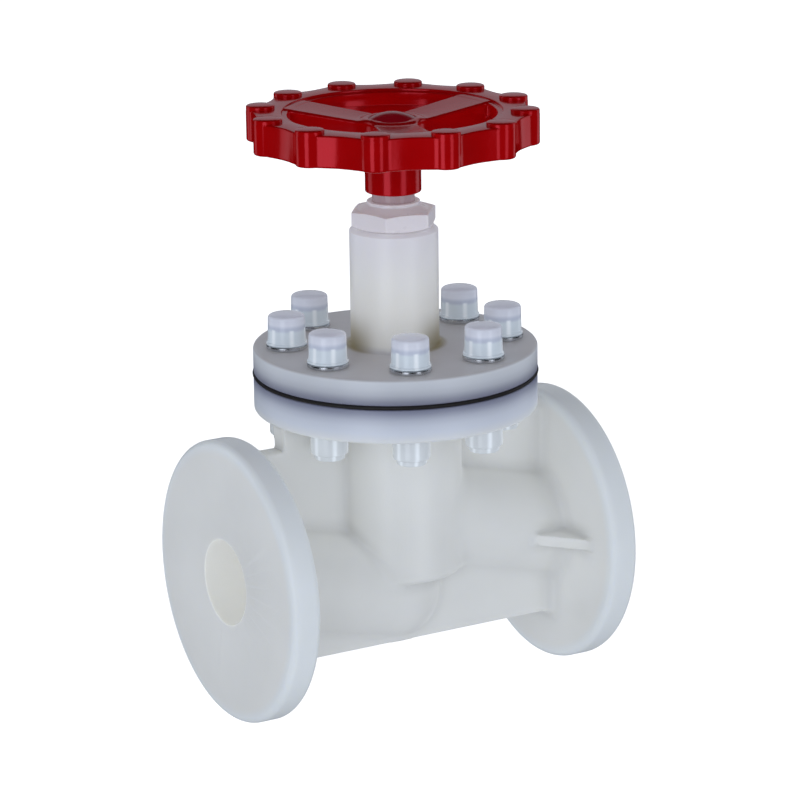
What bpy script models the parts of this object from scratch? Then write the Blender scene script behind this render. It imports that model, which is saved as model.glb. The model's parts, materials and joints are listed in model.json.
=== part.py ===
"""Flanged plastic globe valve, nominal bore 50 mm: body, bonnet, stem, disc, packing, handwheel and bolting.

The pipe axis is X (inlet at -X), the stem axis is Z, and the origin is where the two axes cross.
Everything is in metres. The valve is modelled closed.
"""

import math

import bmesh
import bpy
from mathutils import Matrix, Vector

# Driving dimensions
GAP = 0.0003  # clearance between neighbouring pieces
MERGE = 1e-7  # points this close are one point
CUT_OVER = 0.001  # how far a cutter runs past the face it opens
BALL_UNDER = 0.0001  # a ball inside a bend is this much smaller than the bores it joins

# Valve body
FACE_TO_FACE = 0.230
PIPE_FLANGE_R = 0.0825
PIPE_FLANGE_T = 0.018
PIPE_FLANGE_ROUND = 0.0045
PORT_R = 0.025
DUCT_R = 0.0325
DUCT_SLOPE = math.radians(13.6)  # each duct leaves its flange level and meets the chamber on a slant
HUB_FILLET = 0.009
CHAMBER_R = 0.038
CHAMBER_BOTTOM_Z = -0.0106
CHAMBER_BORE_R = 0.0290
CHAMBER_FLOOR_Z = 0.002
SEAT_PORT_R = 0.021
SEAT_RECESS_R = 0.0276
INLET_BEND_X = 0.0905
INLET_MID = (-0.058, 0, -0.0085)
INLET_MID_R = 0.0225
UNDER_SEAT_X = (0.026, 0.004)  # from the drop to the end of the run below the seat
UNDER_SEAT_Z = -0.026
UNDER_SEAT_R = 0.0190
OUTLET_START = (0.012, 0, 0.0305)
OUTLET_START_R = 0.0215
OUTLET_BEND = (0.080, 0, 0.004)
OUTLET_BEND_R = 0.0240
OUTLET_LEVEL_X = 0.1005
WEB_HALF = 0.006
WEB_TOP_Z = 0.074
BEAM_HALF = 0.020
BEAM_BOTTOM_Z = -0.050
GUSSET_T = 0.007
GUSSET_REACH = 0.062
GUSSET_X = 0.066

# Bonnet joint, from the bottom up
TOP_FLANGE_R = 0.0825
TOP_FLANGE_Z = (0.0885, 0.1086)
GASKET_Z = (0.1089, 0.1104)
GASKET_R = 0.0832
BONNET_FLANGE_Z = (0.1107, 0.1259)
SPIGOT_Z = 0.0960
BOLT_COUNT = 8
BOLT_CIRCLE_R = 0.0631
BOLT_FIRST_ANGLE = math.radians(22.5)
BOLT_R = 0.0050
BOLT_HOLE_R = 0.0056
HEX_R = 0.0092  # corner radius of the bolt heads and nuts
HEAD_H = 0.0070
NUT_H = 0.0080
BOLT_TIP = 0.0156  # how far the bolt reaches below the top flange
WASHER_R = 0.0120
WASHER_T = 0.0022
CAP_R = 0.0111
CAP_H = 0.0176
CAP_HOLLOW_H = 0.0100
CAP_WALL = 0.0007
CAP_LIP = 0.0007
NUT_CAP_R = 0.0108
NUT_CAP_H = 0.0135
NUT_CAP_WALL = 0.0009
NUT_CAP_END_R = 0.0088
NUT_CAP_END_H = 0.0165

# Bonnet neck and packing
NECK_R = 0.0257
NECK_TOP_Z = 0.1955
NECK_CHAMFER = 0.0022
PACKING_BOX_R = 0.0180
PACKING_FLOOR_Z = 0.1600
BUSH_Z = (0.0980, 0.1500)
BUSH_R = 0.0175
STEM_R = 0.0123
STEM_BORE_R = 0.0127
STEM_THREAD_R = 0.0110
PACKING_RINGS = 3
PACKING_RING_H = 0.0052

# Gland nut
GLAND_HEX_R = 0.0258
GLAND_HEX_Z = (0.1958, 0.2060)
GLAND_HEX_TURN = math.radians(-10.0)
GLAND_BOSS_R = 0.01535
GLAND_CONE_TOP_Z = 0.2086
GLAND_TOP_Z = 0.2107
GLAND_TAIL_Z = 0.1860

# Moving parts
HUB_BOTTOM_Z = 0.2160
HUB_R = 0.0162
HUB_COLLAR_R = 0.0175
HUB_TOP_Z = 0.2577
WHEEL_Z = (0.2445, 0.2628)
SPOKE_LOW_Z = 0.2470
SPOKE_TOP_Z = 0.2575  # at the hub; the spokes' tops climb outwards
SPOKE_RISE = 0.107  # per metre of radius beyond the hub
SPOKE_LEVEL_R = 0.018
KNOB_TOP_Z = 0.2654
KNOB_COUNT = 12
KNOB_CIRCLE_R = 0.0760
KNOB_R = 0.0084
KNOB_FIRST_ANGLE = math.radians(82.65)
VALLEY_R = 0.0778
LOBE_R = 0.0085
LOBE_SPAN = math.radians(60)
RIM_INNER_R = 0.0600
RIM_INNER_LOW_Z = 0.2536  # the inner wall is shorter than the outer one
RIM_HOLLOW_R = (0.0650, 0.0730)  # the channel under the rim
RIM_HOLLOW_TOP_Z = 0.2570
LEDGE_R = 0.0632
LEDGE_Z = 0.2615
SPOKE_COUNT = 3
SPOKE_FIRST_ANGLE = math.radians(7.4)
SPOKE_HALF = (0.0125, 0.0150)
SPOKE_SPAN = (0.008, 0.0655)
CAP_DOME_R = 0.0140
CAP_DOME_RISE = 0.0040
CAP_SKIRT_R = (0.0118, 0.0132)
CAP_SKIRT_Z = 0.2545
CAP_WELL_R = 0.0135  # the pocket in the hub for the washer, nut and cap
CAP_WELL_Z = 0.2443
WHEEL_WASHER_T = 0.0016
WHEEL_NUT_R = 0.0104

# Disc and seat
SEAT_RING_Z = (0.0023, 0.0080)
SEAT_RING_R = (0.0225, 0.0272)
DISC_SEAL_Z = (0.0083, 0.0112)
DISC_SEAL_R = (0.0187, 0.0260)
DISC_R = 0.0266
DISC_Z = (0.0115, 0.0190)
DISC_HUB_R = 0.0165
DISC_HUB_TOP_Z = 0.0400
STEM_FOOT_R = 0.0108
STEM_FOOT_Z = (0.0240, 0.0300)
STEM_NECK_R = 0.0075
STEM_SHOULDER_Z = 0.2220  # where the stem steps down inside the hub
STEM_END_R = 0.0090
STEM_TIP_R = 0.0060
STEM_TIP_Z = 0.2540
SCREW_HEAD_R = 0.0080
SCREW_HEAD_Z = (0.0030, 0.0072)
CLAMP_PLATE_LOW_Z = 0.0075
SCREW_R = 0.0041


# Shape helpers


def material(name, colour, roughness, metallic=0.0):
    """A Principled material of its own for one kind of piece."""
    made = bpy.data.materials.new(name)
    made.use_nodes = True
    shader = made.node_tree.nodes["Principled BSDF"]
    shader.inputs["Base Color"].default_value = (*colour, 1.0)
    shader.inputs["Roughness"].default_value = roughness
    shader.inputs["Metallic"].default_value = metallic
    made.diffuse_color = (*colour, 1.0)
    return made


def placed(name, bm, finish, at=(0, 0, 0), parent=None):
    """The bmesh as a named object at a place, smooth on its round sides."""
    mesh = bpy.data.meshes.new(name)
    bm.to_mesh(mesh)
    bm.free()
    mesh.shade_smooth()
    mesh.set_sharp_from_angle(angle=math.radians(35))
    mesh.materials.append(finish)
    made = bpy.data.objects.new(name, mesh)
    bpy.context.scene.collection.objects.link(made)
    made.location = at
    if parent is not None:
        made.parent = parent
        made.location = Vector(at) - parent.location
    return made


def arc(centre, radius, start, end, steps):
    """Points on an arc in the (radius, height) plane, angles in degrees."""
    angles = [math.radians(start + (end - start) * i / steps) for i in range(steps + 1)]
    return [(centre[0] + radius * math.cos(a), centre[1] + radius * math.sin(a)) for a in angles]


def turned(profile, segments, along_x=False):
    """A (radius, height) profile spun about Z, or about X; a profile that ends on the axis makes a solid."""
    bm = bmesh.new()
    verts = [bm.verts.new((r, 0, z)) for r, z in profile]
    open_ended = profile[0][0] == 0 and profile[-1][0] == 0
    count = len(verts) - 1 if open_ended else len(verts)
    edges = [bm.edges.new((verts[i], verts[(i + 1) % len(verts)])) for i in range(count)]
    bmesh.ops.spin(
        bm,
        geom=verts + edges,
        cent=(0, 0, 0),
        axis=(0, 0, 1),
        dvec=(0, 0, 0),
        angle=math.tau,
        steps=segments,
        use_merge=True,
    )
    bmesh.ops.remove_doubles(bm, verts=bm.verts, dist=MERGE)
    if along_x:
        bmesh.ops.rotate(bm, verts=bm.verts, cent=(0, 0, 0), matrix=Matrix.Rotation(math.pi / 2, 3, "Y"))
    bmesh.ops.recalc_face_normals(bm, faces=bm.faces)
    return bm


def ring(inner, outer, low, high, segments, chamfer=0.0):
    """A flat ring between two heights, its outer corners chamfered."""
    c = chamfer
    profile = [(inner, low), (outer - c, low), (outer, low + c)]
    profile += [(outer, high - c), (outer - c, high), (inner, high)]
    if not c:
        profile = [(inner, low), (outer, low), (outer, high), (inner, high)]
    return turned(profile, segments)


def disc_profile(radius, low, high, round_low, round_high, steps=3):
    """The outer profile of a solid disc with rounded corners, from the axis to the axis."""
    lower = arc((radius - round_low, low + round_low), round_low, -90, 0, steps)
    upper = arc((radius - round_high, high - round_high), round_high, 0, 90, steps)
    return [(0, low)] + lower + upper + [(0, high)]


def prism(outline, low, high):
    """A flat outline of (x, y) points extruded between two heights."""
    bm = bmesh.new()
    base = bm.faces.new([bm.verts.new((x, y, low)) for x, y in outline])
    top = bmesh.ops.extrude_face_region(bm, geom=[base])["geom"]
    moved = [item for item in top if isinstance(item, bmesh.types.BMVert)]
    bmesh.ops.translate(bm, verts=moved, vec=(0, 0, high - low))
    bmesh.ops.recalc_face_normals(bm, faces=bm.faces)
    return bm


def hexagon(circumradius, turn=0.0):
    """The corners of a hexagon."""
    angles = [turn + math.tau * i / 6 for i in range(6)]
    return [(circumradius * math.cos(a), circumradius * math.sin(a)) for a in angles]


def upright_prism(outline, half_width):
    """An outline of (x, z) points given a thickness along Y."""
    bm = prism([(x, -z) for x, z in outline], -half_width, half_width)
    bmesh.ops.rotate(bm, verts=bm.verts, cent=(0, 0, 0), matrix=Matrix.Rotation(-math.pi / 2, 3, "X"))
    return bm


def tube(start, end, start_r, end_r, segments=20):
    """A solid cone or cylinder between two points."""
    run = Vector(end) - Vector(start)
    bm = turned([(0, 0), (start_r, 0), (end_r, run.length), (0, run.length)], segments)
    turn = Vector((0, 0, 1)).rotation_difference(run).to_matrix()
    bmesh.ops.rotate(bm, verts=bm.verts, cent=(0, 0, 0), matrix=turn)
    bmesh.ops.translate(bm, verts=bm.verts, vec=start)
    return bm


def ball(centre, radius, segments=20, rings=10):
    """A closed sphere."""
    bm = bmesh.new()
    bmesh.ops.create_uvsphere(bm, u_segments=segments, v_segments=rings, radius=radius)
    bmesh.ops.translate(bm, verts=bm.verts, vec=centre)
    return bm


def operand(name, bm, group, finish):
    """A shape that is only an operand of a Boolean, kept out of the model."""
    made = placed(name, bm, finish)
    bpy.context.scene.collection.objects.unlink(made)
    group.objects.link(made)
    made.hide_render = True
    made.display_type = "WIRE"
    return made


def operand_group(name):
    """A collection that holds the operands of one Boolean."""
    made = bpy.data.collections.new(name)
    bpy.context.scene.collection.children.link(made)
    return made


def combine(target, operation, group):
    """A Boolean modifier with every object of a group."""
    modifier = target.modifiers.new(group.name, "BOOLEAN")
    modifier.operation = operation
    modifier.operand_type = "COLLECTION"
    modifier.collection = group
    modifier.solver = "EXACT"
    return modifier


def bolt_places():
    """The bolt centres, as (number, x, y)."""
    for i in range(BOLT_COUNT):
        a = BOLT_FIRST_ANGLE + math.tau * i / BOLT_COUNT
        yield i + 1, BOLT_CIRCLE_R * math.cos(a), BOLT_CIRCLE_R * math.sin(a)


# Valve body


def pipe_flange(side):
    """A pipe flange with a rounded rim and a filleted hub; side is -1 at the inlet and 1 at the outlet."""
    face = FACE_TO_FACE / 2
    back = face - PIPE_FLANGE_T
    r = PIPE_FLANGE_ROUND
    profile = [(0, face)]
    profile += arc((PIPE_FLANGE_R - r, face - r), r, 90, 0, 3)
    profile += arc((PIPE_FLANGE_R - r, back + r), r, 0, -90, 3)
    profile += arc((DUCT_R + HUB_FILLET, back - HUB_FILLET), HUB_FILLET, 90, 180, 3)
    profile += [(0, back - HUB_FILLET)]
    bm = turned(profile, 40, along_x=True)
    if side < 0:
        bmesh.ops.rotate(bm, verts=bm.verts, cent=(0, 0, 0), matrix=Matrix.Rotation(math.pi, 3, "Z"))
    return bm


def duct(side):
    """The outside of a duct, from inside its flange's hub down or up to the chamber."""
    start = Vector((side * (FACE_TO_FACE / 2 - PIPE_FLANGE_T - HUB_FILLET), 0, 0))
    end = duct_end(side)
    return tube(start, end, DUCT_R, DUCT_R, 24)


def duct_end(side):
    """Where a duct's axis ends near the chamber: low at the inlet, high at the outlet."""
    run = FACE_TO_FACE / 2 - PIPE_FLANGE_T - HUB_FILLET
    reach = 0.010
    return Vector((side * reach, 0, side * (run - reach) * math.tan(DUCT_SLOPE)))


def chamber():
    """The upright chamber with a rounded foot and a flare into the top flange."""
    r, foot, flare = CHAMBER_R, 0.005, 0.008
    under = TOP_FLANGE_Z[0]
    profile = [(0, CHAMBER_BOTTOM_Z)]
    profile += arc((r - foot, CHAMBER_BOTTOM_Z + foot), foot, -90, 0, 3)
    profile += arc((r + flare, under - flare), flare, 180, 90, 3)
    profile += [(r + flare, under + 0.004), (0, under + 0.004)]
    return turned(profile, 36)


def top_flange():
    """The round flange that carries the bonnet."""
    low, high = TOP_FLANGE_Z
    return turned(disc_profile(TOP_FLANGE_R, low, high, 0.0018, 0.0012, 1), 40)


def web():
    """The upright web along the pipe axis, from flange to flange, under the top flange."""
    half = FACE_TO_FACE / 2 - PIPE_FLANGE_T / 2
    shoulder = TOP_FLANGE_R * 0.94
    under = TOP_FLANGE_Z[0] + 0.003
    outline = [(-half, -0.005), (half, -0.005), (half, WEB_TOP_Z), (shoulder + 0.004, WEB_TOP_Z)]
    outline += [(shoulder, under), (-shoulder, under), (-shoulder - 0.004, WEB_TOP_Z), (-half, WEB_TOP_Z)]
    return upright_prism(outline, WEB_HALF)


def beam():
    """The bottom beam that ties the two pipe flanges together."""
    half = FACE_TO_FACE / 2 - PIPE_FLANGE_T / 2
    end = FACE_TO_FACE / 2 - PIPE_FLANGE_T
    outline = [(-half, BEAM_BOTTOM_Z), (half, BEAM_BOTTOM_Z), (half, -0.020)]
    outline += [(end, -0.020), (-end, -0.005), (-half, -0.005)]
    bm = upright_prism(outline, BEAM_HALF)
    long_edges = [e for e in bm.edges if all(abs(v.co.z - BEAM_BOTTOM_Z) < MERGE for v in e.verts)]
    long_edges = [e for e in long_edges if abs(e.verts[0].co.x - e.verts[1].co.x) > half]
    bmesh.ops.bevel(bm, geom=long_edges, offset=0.004, segments=3, profile=0.5, affect="EDGES")
    return bm


def gusset(side):
    """The flat triangular gussets at pipe axis height, one each side of a duct, as one plate."""
    back = FACE_TO_FACE / 2 - PIPE_FLANGE_T / 2
    plate = FACE_TO_FACE / 2 - PIPE_FLANGE_T
    outline = [(back, GUSSET_REACH), (plate, GUSSET_REACH), (GUSSET_X, DUCT_R - 0.004)]
    outline += [(GUSSET_X, 0.004 - DUCT_R), (plate, -GUSSET_REACH), (back, -GUSSET_REACH)]
    return prism([(side * x, y) for x, y in outline], 0.005 - GUSSET_T, 0.005)


def passages(group, finish):
    """The hollow way through the body: inlet, under the seat, up the seat port, chamber and outlet."""
    past_face = FACE_TO_FACE / 2 + CUT_OVER
    bend, mid = Vector((-INLET_BEND_X, 0, 0)), Vector(INLET_MID)
    low, end = Vector((-UNDER_SEAT_X[0], 0, UNDER_SEAT_Z)), Vector((-UNDER_SEAT_X[1], 0, UNDER_SEAT_Z))
    seat_low, seat_high = Vector((0, 0, UNDER_SEAT_Z)), Vector((0, 0, CHAMBER_FLOOR_Z + CUT_OVER))
    operand("inlet_port_cut", tube((-past_face, 0, 0), bend, PORT_R, PORT_R), group, finish)
    operand("inlet_bend_cut", ball(bend, PORT_R - BALL_UNDER), group, finish)
    operand("inlet_slant_cut", tube(bend, mid, PORT_R, INLET_MID_R), group, finish)
    operand("inlet_mid_ball_cut", ball(mid, INLET_MID_R - BALL_UNDER), group, finish)
    operand("inlet_drop_cut", tube(mid, low, INLET_MID_R, UNDER_SEAT_R), group, finish)
    operand("inlet_low_ball_cut", ball(low, UNDER_SEAT_R - BALL_UNDER), group, finish)
    operand("inlet_run_cut", tube(low, end, UNDER_SEAT_R, UNDER_SEAT_R), group, finish)
    operand("inlet_end_ball_cut", ball(end, UNDER_SEAT_R - BALL_UNDER), group, finish)
    operand("seat_port_cut", tube(seat_low, seat_high, SEAT_PORT_R, SEAT_PORT_R), group, finish)
    recess_top = (0, 0, SEAT_RING_Z[1] + CUT_OVER)
    recess = tube((0, 0, CHAMBER_FLOOR_Z), recess_top, SEAT_RECESS_R, SEAT_RECESS_R, 32)
    operand("seat_recess_cut", recess, group, finish)
    chamber_low = SEAT_RING_Z[1] + GAP
    bore_top = (0, 0, TOP_FLANGE_Z[1] + CUT_OVER)
    bore = tube((0, 0, chamber_low), bore_top, CHAMBER_BORE_R, CHAMBER_BORE_R, 32)
    operand("chamber_cut", bore, group, finish)
    start, turn = Vector(OUTLET_START), Vector(OUTLET_BEND)
    operand("outlet_slant_cut", tube(start, turn, OUTLET_START_R, OUTLET_BEND_R), group, finish)
    operand("outlet_ball_cut", ball(turn, OUTLET_BEND_R - BALL_UNDER), group, finish)
    operand("outlet_port_cut", tube(turn, (OUTLET_LEVEL_X, 0, 0), OUTLET_BEND_R, PORT_R), group, finish)
    straight_x = OUTLET_LEVEL_X - 0.006
    operand("outlet_face_cut", tube((straight_x, 0, 0), (past_face, 0, 0), PORT_R, PORT_R), group, finish)


def bolt_holes(group, finish, low, high):
    """Clearance holes on the bolt circle."""
    for number, x, y in bolt_places():
        bore = tube((x, y, low), (x, y, high), BOLT_HOLE_R, BOLT_HOLE_R, 8)
        operand(f"{group.name}_{number}", bore, group, finish)


def valve_body(finish):
    """The moulded body: flanges, ducts, chamber and ribs made one, then hollowed."""
    body = placed("valve_body", chamber(), finish)
    solids = operand_group("body_solids")
    operand("top_flange_solid", top_flange(), solids, finish)
    operand("web_solid", web(), solids, finish)
    operand("beam_solid", beam(), solids, finish)
    for side, end in ((-1, "inlet"), (1, "outlet")):
        operand(f"{end}_flange_solid", pipe_flange(side), solids, finish)
        operand(f"{end}_duct_solid", duct(side), solids, finish)
        operand(f"{end}_gusset_solid", gusset(side), solids, finish)
    operand("inlet_bend_solid", ball(duct_end(-1), DUCT_R - 0.0001), solids, finish)
    combine(body, "UNION", solids)
    hollows = operand_group("body_hollows")
    passages(hollows, finish)
    bolt_holes(hollows, finish, TOP_FLANGE_Z[0] - 0.001, TOP_FLANGE_Z[1] + 0.001)
    combine(body, "DIFFERENCE", hollows)
    return body


def bonnet(finish):
    """The bonnet: flange, spigot into the chamber, and the tall packing neck."""
    low, high = BONNET_FLANGE_Z
    foot = 0.003
    profile = [(BUSH_R + GAP, SPIGOT_Z), (CHAMBER_BORE_R - GAP, SPIGOT_Z), (CHAMBER_BORE_R - GAP, low)]
    profile += arc((TOP_FLANGE_R - 0.0012, low + 0.0012), 0.0012, -90, 0, 1)
    profile += arc((TOP_FLANGE_R - 0.0018, high - 0.0018), 0.0018, 0, 90, 2)
    profile += arc((NECK_R + foot, high + foot), foot, -90, -180, 3)
    profile += [(NECK_R, NECK_TOP_Z - NECK_CHAMFER), (NECK_R - NECK_CHAMFER, NECK_TOP_Z)]
    profile += [(PACKING_BOX_R, NECK_TOP_Z), (PACKING_BOX_R, PACKING_FLOOR_Z)]
    profile += [(STEM_BORE_R + GAP, PACKING_FLOOR_Z), (STEM_BORE_R + GAP, BUSH_Z[1] + GAP)]
    profile += [(BUSH_R + GAP, BUSH_Z[1] + GAP)]
    made = placed("bonnet", turned(profile, 40), finish)
    holes = operand_group("bonnet_bolt_holes")
    bolt_holes(holes, finish, low - 0.001, high + 0.001)
    combine(made, "DIFFERENCE", holes)
    return made


def body_gasket(finish):
    """The full-face rubber gasket that shows as a dark line between the flanges."""
    made = placed("body_gasket", ring(CHAMBER_BORE_R + GAP, GASKET_R, *GASKET_Z, 40), finish)
    holes = operand_group("gasket_bolt_holes")
    bolt_holes(holes, finish, GASKET_Z[0] - 0.001, GASKET_Z[1] + 0.001)
    combine(made, "DIFFERENCE", holes)
    return made


# Bonnet bolting


def flange_bolt(name, x, y, finish):
    """A hexagon head bolt, head up, through both flanges."""
    head_low = BONNET_FLANGE_Z[1] + WASHER_T + 2 * GAP
    made = placed(name, prism(hexagon(HEX_R), 0, HEAD_H), finish, at=(x, y, head_low))
    shank = operand_group(f"{name}_shank")
    low = TOP_FLANGE_Z[0] - BOLT_TIP
    cylinder = tube((x, y, low), (x, y, head_low + CUT_OVER), BOLT_R - GAP, BOLT_R - GAP, 8)
    operand(f"{name}_shank_solid", cylinder, shank, finish)
    combine(made, "UNION", shank)
    return made


def bolt_washer(name, x, y, finish):
    """The flat metal washer under a bolt head."""
    disc = ring(BOLT_R + GAP, WASHER_R, 0, WASHER_T, 14)
    return placed(name, disc, finish, at=(x, y, BONNET_FLANGE_Z[1] + GAP))


def bolt_cap(name, x, y, finish):
    """The translucent domed cap pushed over a bolt head."""
    base = BONNET_FLANGE_Z[1] + WASHER_T + 3 * GAP
    profile = [(0, CAP_H), (CAP_R - 0.0034, CAP_H - 0.0007), (CAP_R - 0.0010, CAP_H - 0.0018)]
    profile += [(CAP_R, CAP_H - 0.0036), (CAP_R, 2 * CAP_LIP), (CAP_R + CAP_LIP, 1.5 * CAP_LIP)]
    profile += [(CAP_R + CAP_LIP, 0)]
    profile += [(CAP_R - CAP_WALL, 0), (CAP_R - CAP_WALL, CAP_HOLLOW_H), (0, CAP_HOLLOW_H + 0.0005)]
    return placed(name, turned(profile, 12), finish, at=(x, y, base))


def bolt_nut(name, x, y, finish):
    """The hexagon nut under the body's top flange."""
    top = TOP_FLANGE_Z[0] - GAP
    made = placed(name, prism(hexagon(HEX_R), -NUT_H, 0), finish, at=(x, y, top))
    hole = operand_group(f"{name}_hole")
    bore = tube((x, y, top - NUT_H - CUT_OVER), (x, y, top + CUT_OVER), BOLT_R, BOLT_R, 8)
    operand(f"{name}_hole_cut", bore, hole, finish)
    combine(made, "DIFFERENCE", hole)
    return made


def nut_cap(name, x, y, finish):
    """The translucent cap over a nut, stepped down to a narrow end over the bolt's tip."""
    top = TOP_FLANGE_Z[0] - GAP
    inner, end_inner = NUT_CAP_R - NUT_CAP_WALL, NUT_CAP_END_R - NUT_CAP_WALL
    shoulder = NUT_CAP_WALL - NUT_CAP_H
    profile = [(0, -NUT_CAP_END_H), (NUT_CAP_END_R, -NUT_CAP_END_H), (NUT_CAP_END_R, -NUT_CAP_H - 0.0002)]
    profile += [(NUT_CAP_R, -NUT_CAP_H), (NUT_CAP_R, 0), (inner, 0), (inner, shoulder), (end_inner, shoulder)]
    profile += [(end_inner, 0.0004 - NUT_CAP_END_H), (0, 0.0004 - NUT_CAP_END_H)]
    return placed(name, turned(profile, 10), finish, at=(x, y, top))


def bolting(steel, clear):
    """Eight bolts, each with a washer, a head cap, a nut and a nut cap."""
    for number, x, y in bolt_places():
        flange_bolt(f"flange_bolt_{number}", x, y, steel)
        bolt_washer(f"bolt_washer_{number}", x, y, steel)
        bolt_cap(f"bolt_cap_{number}", x, y, clear)
        bolt_nut(f"bolt_nut_{number}", x, y, steel)
        nut_cap(f"nut_cap_{number}", x, y, clear)


# Packing and seat


def gland_nut(finish):
    """The hexagon gland nut with its threaded tail and round boss."""
    low, high = GLAND_HEX_Z
    made = placed("gland_nut", prism(hexagon(GLAND_HEX_R, GLAND_HEX_TURN), low, high), finish)
    across = GLAND_HEX_R * math.cos(math.radians(30))
    envelope = operand_group("gland_envelope")
    profile = [(0, low), (across - 0.0012, low), (GLAND_HEX_R + 0.0004, low + 0.0020)]
    profile += [(GLAND_HEX_R + 0.0004, high - 0.0010), (across - 0.0004, high), (0, high)]
    operand("gland_envelope_solid", turned(profile, 30), envelope, finish)
    combine(made, "INTERSECT", envelope)
    round_parts = operand_group("gland_round")
    boss = [(0, GLAND_TAIL_Z), (PACKING_BOX_R - GAP, GLAND_TAIL_Z), (PACKING_BOX_R - GAP, low + 0.001)]
    boss += [(across - 0.0010, low + 0.001), (across - 0.0010, high)]
    boss += [(GLAND_BOSS_R + 0.0006, GLAND_CONE_TOP_Z)]
    boss += [(GLAND_BOSS_R, GLAND_CONE_TOP_Z + 0.0003), (GLAND_BOSS_R, GLAND_TOP_Z), (0, GLAND_TOP_Z)]
    operand("gland_boss_solid", turned(boss, 30), round_parts, finish)
    combine(made, "UNION", round_parts)
    bore = operand_group("gland_bore")
    bore_cut = tube((0, 0, GLAND_TAIL_Z - 0.001), (0, 0, GLAND_TOP_Z + 0.001), STEM_BORE_R, STEM_BORE_R)
    operand("gland_bore_cut", bore_cut, bore, finish)
    combine(made, "DIFFERENCE", bore)
    return made


def packing(ring_finish, follower_finish):
    """The packing rings on the stuffing box floor, and the follower that the gland nut presses down."""
    low = PACKING_FLOOR_Z + GAP
    for i in range(PACKING_RINGS):
        bm = ring(STEM_BORE_R, PACKING_BOX_R - GAP, low, low + PACKING_RING_H, 24)
        placed(f"packing_ring_{i + 1}", bm, ring_finish)
        low += PACKING_RING_H + GAP
    follower = ring(STEM_BORE_R, PACKING_BOX_R - GAP, low, GLAND_TAIL_Z - GAP, 24)
    placed("gland_follower", follower, follower_finish)


def stem_bush(finish):
    """The threaded bush in the bonnet that the stem screws through."""
    low, high = BUSH_Z
    placed("stem_bush", ring(STEM_BORE_R, BUSH_R, low, high, 32), finish)


def seat_ring(finish):
    """The replaceable ring that the disc closes on."""
    placed("seat_ring", ring(*SEAT_RING_R, *SEAT_RING_Z, 32), finish)


# Moving parts


def disc_parts(carrier, plastic, seal_finish, steel):
    """The disc, its soft seal with clamp plate and screw, and the retainer that holds the stem's foot."""
    low, high = DISC_Z
    hub_bore = STEM_FOOT_R + GAP
    profile = [(0, low), (DISC_R - 0.001, low), (DISC_R, low + 0.001), (DISC_R, high - 0.001)]
    profile += [(DISC_R - 0.001, high), (DISC_HUB_R, high + 0.003), (DISC_HUB_R, DISC_HUB_TOP_Z)]
    profile += [(hub_bore, DISC_HUB_TOP_Z), (hub_bore, STEM_FOOT_Z[0] - GAP), (0, STEM_FOOT_Z[0] - GAP)]
    placed("valve_disc", turned(profile, 32), plastic, parent=carrier)
    placed("disc_seal", ring(*DISC_SEAL_R, *DISC_SEAL_Z, 32), seal_finish, parent=carrier)
    seal_top = DISC_SEAL_Z[1]
    plate = ring(SCREW_R + 0.0004, DISC_SEAL_R[0] - GAP, CLAMP_PLATE_LOW_Z, seal_top, 24)
    placed("seal_clamp_plate", plate, plastic, parent=carrier)
    head_low, head_high = SCREW_HEAD_Z
    profile = [(0, head_low), (SCREW_HEAD_R - 0.0005, head_low), (SCREW_HEAD_R, head_low + 0.001)]
    profile += [(SCREW_HEAD_R, head_high), (SCREW_R, head_high), (SCREW_R, seal_top), (0, seal_top)]
    placed("seal_clamp_screw", turned(profile, 20), steel, parent=carrier)
    retainer = ring(STEM_NECK_R + GAP, hub_bore - GAP, STEM_FOOT_Z[1] + GAP, DISC_HUB_TOP_Z, 24)
    placed("stem_retainer", retainer, plastic, parent=carrier)


def stem(spindle, finish):
    """The stem: foot, neck, threaded length, plain length through the packing, and the wheel seat."""
    foot_low, foot_high = STEM_FOOT_Z
    thread_top = BUSH_Z[1] - 0.008
    profile = [(0, foot_low), (STEM_FOOT_R - 0.0008, foot_low), (STEM_FOOT_R, foot_low + 0.0008)]
    profile += [(STEM_FOOT_R, foot_high), (STEM_NECK_R, foot_high), (STEM_NECK_R, DISC_HUB_TOP_Z + 0.002)]
    profile += [(STEM_THREAD_R, DISC_HUB_TOP_Z + 0.004), (STEM_THREAD_R, thread_top)]
    profile += [(STEM_R, thread_top + 0.002), (STEM_R, STEM_SHOULDER_Z), (STEM_END_R, STEM_SHOULDER_Z)]
    profile += [(STEM_END_R, CAP_WELL_Z - GAP), (STEM_TIP_R, CAP_WELL_Z + 0.0007), (STEM_TIP_R, STEM_TIP_Z)]
    profile += [(0, STEM_TIP_Z)]
    placed("stem", turned(profile, 28), finish, parent=spindle)


def wheel_outline(lobe_steps, valley_steps):
    """The handwheel's scalloped outline: twelve round lobes with shallow hollows between them."""
    points = []
    for i in range(KNOB_COUNT):
        a = KNOB_FIRST_ANGLE + math.tau * i / KNOB_COUNT
        points += [turn_point(p, a) for p in lobe_points(lobe_steps)]
        points += [turn_point(p, a) for p in valley_points(valley_steps)]
    return points


def lobe_points(steps):
    """The outward arc of the lobe that points along X."""
    angles = [LOBE_SPAN * (2 * i / steps - 1) for i in range(steps + 1)]
    return [(KNOB_CIRCLE_R + LOBE_R * math.cos(b), LOBE_R * math.sin(b)) for b in angles]


def valley_points(steps):
    """The points strictly between the lobe along X and the next one, dipping to the valley radius."""
    x, y = lobe_points(1)[1]
    start_r, start_a = math.hypot(x, y), math.atan2(y, x)
    end_a = math.tau / KNOB_COUNT - start_a
    points = []
    for i in range(1, steps):
        share = i / steps
        dip = math.sin(math.pi * share)
        r, a = start_r + (VALLEY_R - start_r) * dip, start_a + (end_a - start_a) * share
        points.append((r * math.cos(a), r * math.sin(a)))
    return points


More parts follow.
